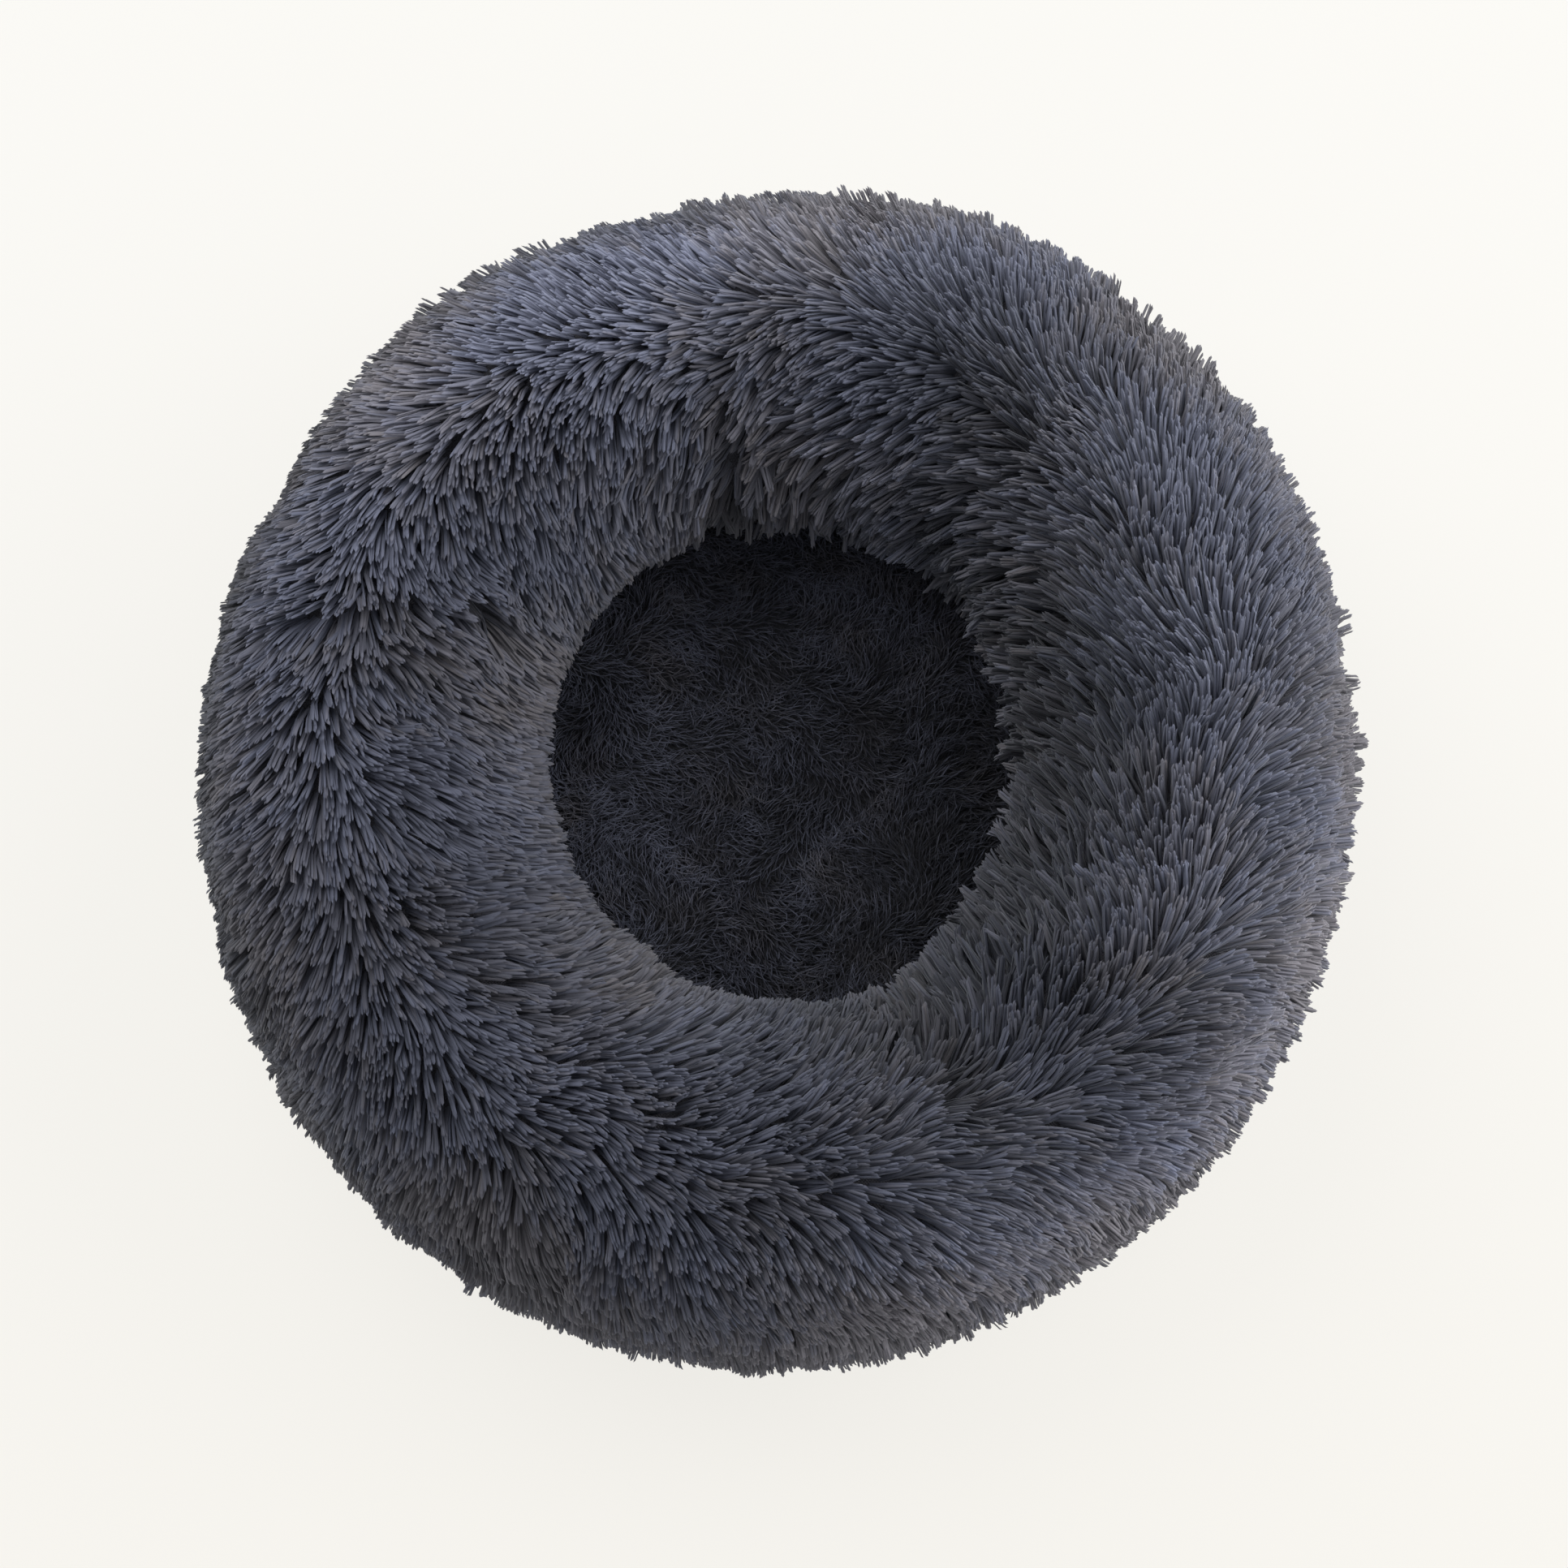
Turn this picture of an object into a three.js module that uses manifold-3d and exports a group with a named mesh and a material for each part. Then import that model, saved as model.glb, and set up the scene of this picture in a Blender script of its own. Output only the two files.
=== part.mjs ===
// A round donut pet bed in millimetres, +Z up, its origin on the floor under the middle.
// A stuffed ring of long shag pile rises round a cushioned nest of short pile. Both are sewn to a
// base of slip-proof cloth, and a zip across the base lets the bags of filling come out for a wash.
import * as THREE from 'three';
import { mergeVertices } from 'three/addons/utils/BufferGeometryUtils.js';
import Module from 'manifold-3d';

const wasm = await Module();
wasm.setup();

// The whole bed
const bedDiameter = 596; // over the laid pile
const bedHeight = 198;
const mouthDiameter = 240; // between the lips of the ring
const footSetback = 30; // from the outline in to the flat that the ring stands on
const footWidth = 22;
const fit = 0.4; // between pieces that lie against each other
const turnSteps = 48; // facets round the bed
const overrun = 2; // how far a cutter runs past what it cuts

// The nest
const nestFloorHeight = 62; // top of the short pile
const nestFlatRadius = 45; // the level middle of the floor
const nestSeamDiameter = 290; // where the floor is sewn to the ring
const nestSeamHeight = 60;
const nestPileDepth = 10.6;
const cushionTuck = 23; // how far the cushion reaches past that seam, under the ring

// Cloth, pile and bags
const pileDepth = 20; // laid shag with its knitted backing
const selvedge = 1.8; // backing sheared bare at a seam
const clothThickness = 1;
const gripHeight = 0.8; // rubber grip dots under the base
const gripDiameter = 8;
const gripPitch = 48;
const gripSides = 6;
const bagWall = 0.8; // woven bags that hold the filling
const bagEase = 1.5; // a bag lies this loose in its cover
const fillSlitLength = 120; // left open for stuffing, then drawn shut by hand
const fillSlitWidth = 1.2;

// The zip
const zipLength = 264; // first tooth to top stops
const zipHeight = 7.5; // middle of the chain above the floor
const toothPitch = 4;
const toothThickness = 2.8;
const toothBody = 2.2; // along the chain, over the tape
const toothNeck = 1.3;
const toothHead = 2.1;
const toothRoot = 4.2; // reach over the tape from the middle of the chain
const toothReach = 1; // how far a head passes the middle
const toothWaist = 0.5; // where the neck is narrowest
const tapeThickness = 0.6;
const tapeReach = 16; // outer edge of the tape from the middle
const tapeTail = 22; // tape past each end of the chain
const tapeGap = 2.8; // between the edges of the two tapes
const windowHalfWidth = 9; // slot in the base that shows the chain
const windowTail = 6;
const rampRun = 28; // the base slopes up to the slot over this
const stopLength = 4;
const stopWall = 0.9;

// The slider and its pull
const sliderLength = 22;
const sliderTailHalf = 5.6;
const sliderShoulderHalf = 8.2;
const sliderPlate = 1.3;
const sliderFlange = 1; // thickness of the rails that guide the teeth
const sliderRailGap = 1.4; // slot between the rails for the tape
const sliderPlay = 0.3; // between the teeth and the plates
const postLength = 5.6;
const archHalfLength = 3.8;
const archWidth = 3;
const archWall = 1.2;
const archHead = 2.4; // clear height under the arch
const archBar = 1;
const pullLength = 25;
const pullThickness = 1.2;
const pullBar = 1.2; // the bar that turns in the arch
const pullEyeLength = 4.6;
const pullRim = 1.4;
const pullTipHalf = 4.2;
const pullHoleRadius = 2;

// Worked out from those
const bedRadius = bedDiameter / 2;
const mouthRadius = mouthDiameter / 2;
const footRadius = bedRadius - footSetback;
const footInnerRadius = footRadius - footWidth;
const nestSeamRadius = nestSeamDiameter / 2;
const cushionRadius = nestSeamRadius + cushionTuck;
const ringMidRadius = (bedRadius + mouthRadius) / 2;
const tubeHalfWidth = (bedRadius - mouthRadius) / 2;
const tubeMidHeight = bedHeight / 2;
const clothTop = gripHeight + clothThickness;
const bagFloor = clothTop + fit;
const ringWallRadius = cushionRadius + fit;
const cushionTop = nestFloorHeight - nestPileDepth - fit;
const cushionDepth = cushionTop - bagFloor;
const baseRadius = footInnerRadius * Math.cos(Math.PI / turnSteps) - fit;
const zipHalf = zipLength / 2;
const windowHalf = zipHalf + windowTail;
const seamRun = Math.min(rampRun, cushionRadius - windowHalf);
const plateInside = toothThickness / 2 + sliderPlay;
const plateOutside = plateInside + sliderPlate;
const sliderRest = zipHalf - sliderLength / 2;
const postHalfWidth = tapeGap / 2 - fit;
const postStart = sliderLength / 2 - overrun / 2 - postLength;
const pullHinge = zipHeight - plateOutside - archHead / 2;
const archBottom = zipHeight - plateOutside - archHead - archBar;
const eyeHalfWidth = archWidth / 2 + fit;

// The ring's outline over the pile, foot to nest seam: shares of the tube's half width from its
// middle and of the bed's height. It leans over the nest and is widest low down outside.
const pileOutlineShares = [
  [0.88, 0.085], [1, 0.32], [0.97, 0.56], [0.78, 0.8], [0.44, 0.95], [0.02, 1],
  [-0.38, 0.96], [-0.71, 0.84], [-0.93, 0.68], [-1, 0.54], [-0.89, 0.41],
];
// The cushion's half outline, rim to crown: shares of its radius and depth
const cushionOutlineShares = [[0.9, 0], [0.975, 0.2], [1, 0.5], [0.955, 0.82], [0.84, 0.96]];
const cushionShoulderShare = 0.8; // where the ring's inner wall leaves the cushion
const bagMitreShare = 0.3;
const pileTaperShare = 0.15; // the pile thins out to each seam over this share of the outline
// Uneven swelling: waves round the bed, share of the length that swells, degrees of its first peak
const outlineSwellShares = [[2, 0.018, 69], [3, 0.0055, 42], [4, 0.0035, 45]];
const crestSwellShares = [[1, 0.012, 70], [3, 0.014, 25], [5, 0.009, 60]];
const lipSwellShares = [[1, 0.055, 205], [3, 0.03, 100], [5, 0.018, 12]];
// Gathers drawn in over the crest: degrees round the bed, share of the tube's half width, spread
const gatherShares = [[99, 0.1, 10], [50, 0.07, 8], [-60, 0.11, 10], [150, 0.06, 9], [215, 0.05, 12]];
const pileSamples = 13;
const bagSampleStep = 2;

const smooth = (share) => THREE.MathUtils.smoothstep(share, 0, 1);
const radians = THREE.MathUtils.degToRad;

// Merges shared vertices, drops the faces that this closes up, and turns the faces outwards
function closed(geometry) {
  geometry.deleteAttribute('normal');
  geometry.deleteAttribute('uv');
  const merged = mergeVertices(geometry);
  const position = merged.attributes.position;
  const kept = [];
  let volume = 0;
  for (let i = 0; i < merged.index.count; i += 3) {
    const face = [0, 1, 2].map((k) => merged.index.getX(i + k));
    if (new Set(face).size < face.length) continue;
    const [a, b, c] = face.map((v) => new THREE.Vector3().fromBufferAttribute(position, v));
    volume += a.dot(b.cross(c));
    kept.push(face);
  }
  merged.setIndex(kept.flatMap(([a, b, c]) => (volume < 0 ? [a, c, b] : [a, b, c])));
  return merged;
}

function toSolid(geometry) {
  const bare = closed(geometry);
  return new wasm.Manifold(new wasm.Mesh({
    numProp: 3,
    vertProperties: new Float32Array(bare.attributes.position.array),
    triVerts: new Uint32Array(bare.index.array),
  }));
}

function toGeometry(solid) {
  const { vertProperties, triVerts } = solid.getMesh();
  const geometry = new THREE.BufferGeometry();
  geometry.setAttribute('position', new THREE.BufferAttribute(vertProperties, 3));
  geometry.setIndex(new THREE.BufferAttribute(triVerts, 1));
  return geometry;
}

// Turns an outline of [radius, height] points about the bed's axis
function revolve(outline, steps = turnSteps) {
  const points = outline.map(([radius, height]) => new THREE.Vector2(radius, height));
  return new THREE.LatheGeometry(points, steps).rotateX(Math.PI / 2);
}

function shapeOf(points) {
  return new THREE.Shape(points.map(([a, b]) => new THREE.Vector2(a, b)));
}

// Prisms along one axis from `from` over `length`: a section in YZ run along X, one in XZ run
// along Y, and one in XY run up Z
const axesOf = {
  x: [new THREE.Vector3(0, 1, 0), new THREE.Vector3(0, 0, 1), new THREE.Vector3(1, 0, 0)],
  y: [new THREE.Vector3(1, 0, 0), new THREE.Vector3(0, 0, 1), new THREE.Vector3(0, -1, 0)],
  z: [new THREE.Vector3(1, 0, 0), new THREE.Vector3(0, 1, 0), new THREE.Vector3(0, 0, 1)],
};

function prism(shape, along, from, length) {
  const geometry = new THREE.ExtrudeGeometry(shape, { depth: length, bevelEnabled: false, curveSegments: 5 });
  geometry.translate(0, 0, along === 'y' ? -from - length : from);
  return geometry.applyMatrix4(new THREE.Matrix4().makeBasis(...axesOf[along]));
}

const prismSolid = (points, along, from, length) => toSolid(prism(shapeOf(points), along, from, length));

// The laid pile over the ring

const pileCurve = new THREE.SplineCurve([
  new THREE.Vector2(footRadius, 0),
  ...pileOutlineShares.map(([across, up]) => (
    new THREE.Vector2(ringMidRadius + across * tubeHalfWidth, up * bedHeight))),
  new THREE.Vector2(nestSeamRadius, nestSeamHeight),
]);

function pileDepthAt(share) {
  return selvedge + (pileDepth - selvedge) * smooth(Math.min(share, 1 - share) / pileTaperShare);
}

// A point `depth` under the outline, towards the middle of the tube
function underPile(share, depth) {
  const point = pileCurve.getPointAt(share);
  const tangent = pileCurve.getTangentAt(share);
  return [point.x - tangent.y * depth, point.y + tangent.x * depth];
}

function coverOutline() {
  const shares = Array.from({ length: pileSamples + 1 }, (_, i) => i / pileSamples);
  const pile = shares.map((share) => underPile(share, 0));
  const backed = shares.filter((share, i) => i === 0 || i === pileSamples || i % bagSampleStep === 1);
  const backing = backed.map((share) => underPile(share, pileDepthAt(share))).reverse();
  const start = [footInnerRadius, 0];
  return [start, ...pile, ...backing, [footInnerRadius, selvedge], start];
}

// The tube of a bag inside the ring's cover, or of what lies `inset` inside that bag
function bagOutline(inset) {
  const outline = [
    [ringWallRadius + inset, bagFloor + inset],
    [footRadius - selvedge - bagEase - inset, bagFloor + inset],
  ];
  for (let i = 1; i < pileSamples; i += bagSampleStep) {
    const share = i / pileSamples;
    outline.push(underPile(share, pileDepthAt(share) + bagEase + inset));
  }
  const shoulder = bagFloor + cushionDepth * cushionShoulderShare;
  outline.push([ringWallRadius + inset, shoulder + bagMitreShare * inset]);
  return [...outline, outline[0]];
}

function swellAt(swellShares, turn) {
  return swellShares.reduce((sum, [waves, share, peak]) => (
    sum + share * Math.cos(waves * (turn - radians(peak)))), 0);
}

function gatherAt(turn) {
  return gatherShares.reduce((sum, [at, share, spread]) => {
    const away = THREE.MathUtils.euclideanModulo(turn - radians(at) + Math.PI, 2 * Math.PI) - Math.PI;
    return sum + share * Math.exp(-((away / radians(spread)) ** 2));
  }, 0);
}

// Slumps the turned ring: its outline, crest and lips swell unevenly, and gathers draw it in.
// The foot and all that is no higher than the nest seam stay true.
function slump(geometry) {
  const position = geometry.attributes.position;
  for (let i = 0; i < position.count; i += 1) {
    const [x, y, z] = [position.getX(i), position.getY(i), position.getZ(i)];
    const radius = Math.hypot(x, y);
    const turn = Math.atan2(y, x);
    const across = (radius - ringMidRadius) / tubeHalfWidth;
    const high = smooth((z - nestSeamHeight) / (bedHeight - nestSeamHeight));
    const outer = smooth(across) * smooth(z / nestSeamHeight);
    const inner = smooth(-across) * high;
    const pinch = gatherAt(turn) * high;
    const moved = radius
      + outer * bedRadius * swellAt(outlineSwellShares, turn)
      - inner * tubeHalfWidth * swellAt(lipSwellShares, turn)
      - pinch * (radius - ringMidRadius);
    const height = z + high * bedHeight * swellAt(crestSwellShares, turn) - pinch * (z - tubeMidHeight);
    position.setXYZ(i, (x * moved) / radius, (y * moved) / radius, height);
  }
  return geometry;
}

const ringSolid = (inset) => toSolid(slump(closed(revolve(bagOutline(inset)))));

function boxAt(size, place) {
  return new THREE.BoxGeometry(...size).translate(...place);
}

function bolsterLiner() {
  const inside = bagWall + fillSlitWidth;
  const slit = boxAt(
    [fillSlitWidth, fillSlitLength, inside * 2],
    [(ringWallRadius + footRadius) / 2, 0, bagFloor],
  );
  return toGeometry(ringSolid(0).subtract(ringSolid(bagWall)).subtract(toSolid(slit)));
}

// The cushion in the nest, over the zip

function cushionSolid(inset) {
  const radius = cushionRadius - inset;
  const depth = cushionDepth - 2 * inset;
  const floor = bagFloor + inset;
  const side = cushionOutlineShares.map(([out, up]) => [out * radius, floor + up * depth]);
  return toSolid(revolve([[0, floor], ...side, [0, floor + depth]]));
}

// The hollow that the slider and the sloping base press into the underside of the cushion
function zipValley(grow) {
  const top = zipHeight + plateOutside + fit + grow;
  const crown = windowHalfWidth + grow;
  const foot = windowHalfWidth + rampRun + toothRoot + grow;
  const reach = cushionRadius + overrun;
  const section = [[-foot, bagFloor], [-foot, -overrun], [foot, -overrun], [foot, bagFloor], [crown, top], [-crown, top]];
  return prismSolid(section, 'x', -reach, 2 * reach);
}

function cushionLiner() {
  const slitPlace = [0, cushionRadius * cushionShoulderShare, bagFloor];
  const slit = boxAt([fillSlitLength, fillSlitWidth, (bagWall + fillSlitWidth) * 2], slitPlace);
  const bag = cushionSolid(0).subtract(zipValley(0));
  const inside = cushionSolid(bagWall).subtract(zipValley(bagWall));
  return toGeometry(bag.subtract(inside).subtract(toSolid(slit)));
}

function cushionFill() {
  const inset = bagWall + fit;
  return toGeometry(cushionSolid(inset).subtract(zipValley(inset)));
}

function nestFloor() {
  const [shoulderShare, crownShare] = cushionOutlineShares.at(-1);
  const rim = nestSeamRadius - fit;
  const shoulder = cushionRadius * shoulderShare;
  const under = bagFloor + crownShare * cushionDepth + fit;
  const edge = nestSeamHeight - fit;
  return closed(revolve([
    [0, cushionTop + fit],
    [shoulder, under],
    [rim, under + (edge - under) / 2],
    [rim - selvedge, edge],
    [rim - nestPileDepth, (edge + nestFloorHeight) / 2],
    [nestFlatRadius, nestFloorHeight],
    [0, nestFloorHeight],
  ]));
}

// The base: two half rounds of cloth that meet in a seam past the ends of the zip's slot

function clothRise(x, y) {
  const along = Math.max(Math.abs(x) - windowHalf, 0) / seamRun;
  const across = Math.max(Math.abs(y) - windowHalfWidth, 0) / rampRun;
  const lift = zipHeight - tapeThickness / 2 - fit - clothThickness - gripHeight;
  return gripHeight + lift * (1 - smooth(Math.hypot(along, across)));
}

function clothStations() {
  const columns = 26;
  const first = Math.asin((toothPitch * 2) / baseRadius);
  const even = Array.from({ length: columns + 1 }, (_, i) => (
    -baseRadius * Math.cos(first + (Math.PI - 2 * first) * (i / columns))));
  const slot = [windowHalf, windowHalf + fit * 2].flatMap((x) => [-x, x]);
  const spare = toothPitch;
  const clear = even.filter((x) => slot.every((s) => Math.abs(Math.abs(x) - Math.abs(s)) > spare));
  return [...clear, ...slot].sort((a, b) => a - b);
}

function clothColumn(x, side) {
  const arc = Math.sqrt(baseRadius ** 2 - x ** 2);
  const edge = Math.abs(x) <= windowHalf ? windowHalfWidth : fit;
  const rampEnd = windowHalfWidth + rampRun;
  const rows = [edge, ...[1 / 3, 2 / 3, 1].map((share) => windowHalfWidth + share * rampRun)];
  rows.push((rampEnd + arc) / 2, arc);
  const reaches = rows.map((y, j) => Math.min(y, edge + (arc - edge) * (j / (rows.length - 1))));
  return [...reaches.slice(0, -1), arc].map((y) => [x, y * side, clothRise(x, y)]);
}

// A sheet over a grid of points, `thickness` deep
function sheet(columns, thickness) {
  const rows = columns[0].length;
  const size = columns.length * rows;
  const under = columns.flat(2);
  const upper = columns.flat().flatMap(([x, y, z]) => [x, y, z + thickness]);
  const at = (i, j) => i * rows + j;
  const faces = [];
  const quad = (a, b, c, d) => faces.push(a, b, c, a, c, d);
  for (let i = 0; i < columns.length - 1; i += 1) {
    for (let j = 0; j < rows - 1; j += 1) {
      const corners = [at(i, j), at(i + 1, j), at(i + 1, j + 1), at(i, j + 1)];
      quad(...corners.map((v) => v + size));
      quad(...corners.reverse());
    }
  }
  const last = columns.length - 1;
  const rim = [
    ...columns.map((_, i) => at(i, 0)),
    ...columns[0].map((_, j) => at(last, j)).slice(1),
    ...columns.map((_, i) => at(last - i, rows - 1)).slice(1),
    ...columns[0].map((_, j) => at(0, rows - 1 - j)).slice(1),
  ];
  for (let k = 0; k < rim.length - 1; k += 1) {
    quad(rim[k], rim[k + 1], rim[k + 1] + size, rim[k] + size);
  }
  const geometry = new THREE.BufferGeometry();
  geometry.setAttribute('position', new THREE.Float32BufferAttribute([...under, ...upper], 3));
  geometry.setIndex(faces);
  return geometry;
}

function gripPlaces(side) {
  const rowPitch = gripPitch * Math.sin(Math.PI / 3);
  const keepOut = windowHalfWidth + rampRun + gripDiameter / 2;
  const places = [];
  for (let row = 0; keepOut + row * rowPitch < baseRadius - gripDiameter; row += 1) {
    const y = keepOut + row * rowPitch;
    const reach = Math.sqrt((baseRadius - gripDiameter) ** 2 - y ** 2);
    const shift = row % 2 ? gripPitch / 2 : 0;
    const most = Math.ceil(reach / gripPitch);
    for (let column = -most; column <= most; column += 1) {
      const x = column * gripPitch + shift;
      if (Math.abs(x) <= reach) places.push([x, y * side]);
    }
  }
  return places;
}

function basePanel(side) {
  const cloth = toSolid(sheet(clothStations().map((x) => clothColumn(x, side)), clothThickness));
  const depth = gripHeight + clothThickness / 2;
  const grip = gripPlaces(side).map(([x, y]) => toSolid(
    new THREE.CylinderGeometry(gripDiameter / 2, gripDiameter / 2 - fit, depth, gripSides)
      .rotateX(Math.PI / 2).translate(x, y, depth / 2)));
  return toGeometry(wasm.Manifold.union([cloth, ...grip]));
}

// The zip: a tape on each side with teeth moulded over its edge, and stops

function tapeSection(side) {
  const edge = tapeGap / 2;
  const thin = tapeThickness / 2;
  const corners = [[edge, thin], [tapeReach, thin], [tapeReach, -thin], [edge, -thin]];
  return corners.map(([y, z]) => [y * side, zipHeight + z]);
}

function toothOutline(x, side) {
  const half = [[toothBody / 2, toothRoot], [toothNeck / 2, toothWaist], [toothHead / 2, -toothReach]];
  const other = half.map(([along, across]) => [-along, across]).reverse();
  return [...half, ...other].map(([along, across]) => [x + along, across * side]);
}

function zipSide(side) {
  const reach = zipHalf + tapeTail;
  const tape = prismSolid(tapeSection(side), 'x', -reach, 2 * reach);
  const first = -zipHalf + toothPitch + (side > 0 ? 0 : toothPitch / 2);
  const last = sliderRest + postStart - fit - toothHead / 2;
  const teeth = [];
  for (let x = first; x <= last; x += toothPitch) {
    teeth.push(prismSolid(toothOutline(x, side), 'z', zipHeight - toothThickness / 2, toothThickness));
  }
  return toGeometry(wasm.Manifold.union([tape, ...teeth]));
}

// A stop folded round the edge of one tape
function topStop(side) {
  const back = tapeGap / 2 - fit;
  const slot = tapeThickness / 2 + fit;
  const outer = toothRoot;
  const thick = slot + stopWall;
  const front = back - stopWall;
  const section = [[outer, slot], [outer, thick], [front, thick], [front, -thick], [outer, -thick],
    [outer, -slot], [back, -slot], [back, slot]];
  const placed = section.map(([y, z]) => [y * side, zipHeight + z]);
  return prism(shapeOf(placed), 'x', zipHalf + sliderPlay, stopLength);
}

// The lower stop joins both tapes
function bottomStop() {
  const back = tapeGap / 2 - fit;
  const slot = tapeThickness / 2 + fit;
  const thick = slot + stopWall;
  const right = [[toothRoot, thick], [toothRoot, slot], [back, slot], [back, -slot], [toothRoot, -slot], [toothRoot, -thick]];
  const left = right.map(([y, z]) => [-y, -z]);
  const section = [...right, ...left].map(([y, z]) => [y, zipHeight + z]);
  return prism(shapeOf(section), 'x', -zipHalf - stopLength, stopLength);
}

// A plan with a narrow tail and wide shoulders
function sliderPlan(inset, beyond) {
  const back = -sliderLength / 2 - beyond;
  const front = sliderLength / 2 + beyond;
  const waist = sliderLength / 10;
  const half = [
    [back, sliderTailHalf - inset], [-waist, sliderTailHalf - inset],
    [waist * 2, sliderShoulderHalf - inset], [front, sliderShoulderHalf - inset],
  ];
  const other = half.map(([x, y]) => [x, -y]).reverse();
  return [...half, ...other].map(([x, y]) => [x + sliderRest, y]);
}

function sliderHalf(up) {
  const rail = plateInside - sliderRailGap / 2;
  const low = up > 0 ? sliderRailGap / 2 : -plateOutside;
  const channelLow = up > 0 ? sliderRailGap / 2 - overrun : -plateInside;
  const block = prismSolid(sliderPlan(0, 0), 'z', zipHeight + low, sliderPlate + rail);
  const channel = prismSolid(sliderPlan(sliderFlange, overrun), 'z', zipHeight + channelLow, rail + overrun);
  return block.subtract(channel);
}

function slider() {
  const start = sliderRest + postStart;
  const post = prismSolid([
    [start, 0], [start + postLength / 2, postHalfWidth], [start + postLength, 0],
    [start + postLength / 2, -postHalfWidth],
  ], 'z', zipHeight - plateInside - sliderPlay, 2 * (plateInside + sliderPlay));
  const ceiling = zipHeight - plateOutside;
  const inner = archHalfLength - archWall;
  const arch = prismSolid([
    [-archHalfLength, ceiling + sliderPlay], [-archHalfLength, archBottom + archBar],
    [-inner, archBottom], [inner, archBottom], [archHalfLength, archBottom + archBar],
    [archHalfLength, ceiling + sliderPlay], [inner, ceiling + sliderPlay], [inner, archBottom + archBar],
    [-inner, archBottom + archBar], [-inner, ceiling + sliderPlay],
  ].map(([x, z]) => [x + sliderRest, z]), 'y', -archWidth / 2, archWidth);
  return toGeometry(wasm.Manifold.union([sliderHalf(1), sliderHalf(-1), post, arch]));
}

// The pull: a bar in the arch, an eye for the arch to pass through, and a tapered tongue
function pullTab() {
  const eyeStart = pullBar / 2;
  const eyeEnd = eyeStart + pullEyeLength;
  const headHalf = eyeHalfWidth + pullRim;
  const tip = pullLength - pullTipHalf;
  const outline = new THREE.Shape();
  outline.moveTo(eyeStart, -headHalf);
  outline.lineTo(eyeStart, headHalf);
  outline.lineTo(-eyeEnd, headHalf);
  outline.lineTo(-tip, pullTipHalf);
  outline.absarc(-tip, 0, pullTipHalf, Math.PI / 2, (3 * Math.PI) / 2, false);
  outline.lineTo(-eyeEnd, -headHalf);
  outline.closePath();
  const eye = new THREE.Path([
    [-eyeStart, -eyeHalfWidth], [-eyeStart, eyeHalfWidth], [-eyeEnd, eyeHalfWidth], [-eyeEnd, -eyeHalfWidth],
  ].map(([x, y]) => new THREE.Vector2(x, y)));
  const hole = new THREE.Path().absarc(-tip, 0, pullHoleRadius, 0, 2 * Math.PI, true);
  outline.holes.push(eye, hole);
  const tab = prism(outline, 'z', pullHinge - pullThickness / 2, pullThickness);
  return tab.translate(sliderRest, 0, 0);
}

// Finishes

function finish(color, roughness, metalness = 0) {
  return new THREE.MeshStandardMaterial({ color, roughness, metalness });
}

const longPile = finish(0x41424c, 0.95);
const shortPile = finish(0x2a2b31, 0.95);
const baseCloth = finish(0x2b2c30, 0.85);
const bagCloth = finish(0xd9d8d3, 0.9);
const filling = finish(0xf0efec, 1);
const zipPlastic = finish(0x26272b, 0.55);
const metal = finish(0x8b8d92, 0.35, 1);

const bed = new THREE.Group();

function add(name, geometry, material, parent = bed) {
  const mesh = new THREE.Mesh(geometry, material);
  geometry.computeVertexNormals();
  mesh.name = name;
  parent.add(mesh);
}

const inset = bagWall + fit;
add('bolster_cover', slump(closed(revolve(coverOutline()))), longPile);
add('bolster_liner', bolsterLiner(), bagCloth);
add('bolster_fill', slump(closed(revolve(bagOutline(inset)))), filling);
add('nest_floor_cover', nestFloor(), shortPile);
add('cushion_liner', cushionLiner(), bagCloth);
add('cushion_fill', cushionFill(), filling);

for (const [name, side] of [['left', 1], ['right', -1]]) {
  add(`base_panel_${name}`, basePanel(side), baseCloth);
  add(`zip_side_${name}`, zipSide(side), zipPlastic);
  add(`zip_top_stop_${name}`, closed(topStop(side)), metal);
}
add('zip_bottom_stop', closed(bottomStop()), metal);

const zipRunner = new THREE.Group();
bed.add(zipRunner);
add('zip_slider', slider(), metal, zipRunner);
add('zip_pull_tab', closed(pullTab()), metal, zipRunner);

export default bed;
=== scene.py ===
"""A round donut pet bed: a ring of long shag pile round a nest of short plush, on a zipped base cloth."""
import math

import bmesh
import bpy
import numpy as np
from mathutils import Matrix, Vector
from mathutils.bvhtree import BVHTree
from mathutils.kdtree import KDTree


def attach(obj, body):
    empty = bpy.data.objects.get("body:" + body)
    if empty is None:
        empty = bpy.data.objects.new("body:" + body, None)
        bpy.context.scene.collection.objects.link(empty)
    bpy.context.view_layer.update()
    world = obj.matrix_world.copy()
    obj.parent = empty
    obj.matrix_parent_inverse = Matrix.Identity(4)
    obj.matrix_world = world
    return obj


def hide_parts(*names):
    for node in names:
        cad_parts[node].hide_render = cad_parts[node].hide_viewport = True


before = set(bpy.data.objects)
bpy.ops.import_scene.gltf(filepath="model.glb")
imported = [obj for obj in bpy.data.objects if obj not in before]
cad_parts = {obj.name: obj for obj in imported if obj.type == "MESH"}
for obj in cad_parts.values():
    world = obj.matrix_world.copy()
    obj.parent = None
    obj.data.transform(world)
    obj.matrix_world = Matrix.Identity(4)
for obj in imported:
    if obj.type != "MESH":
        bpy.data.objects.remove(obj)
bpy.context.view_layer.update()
MM = 0.001

# The ring as the frame has it, in metres
TUBE_RADIUS = 209 * MM
TUBE_HEIGHT = 99 * MM
NEST_SEAM_RADIUS = 145 * MM
NEST_FLOOR_HEIGHT = 62 * MM
BASE_RADIUS = 245.07 * MM

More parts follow.
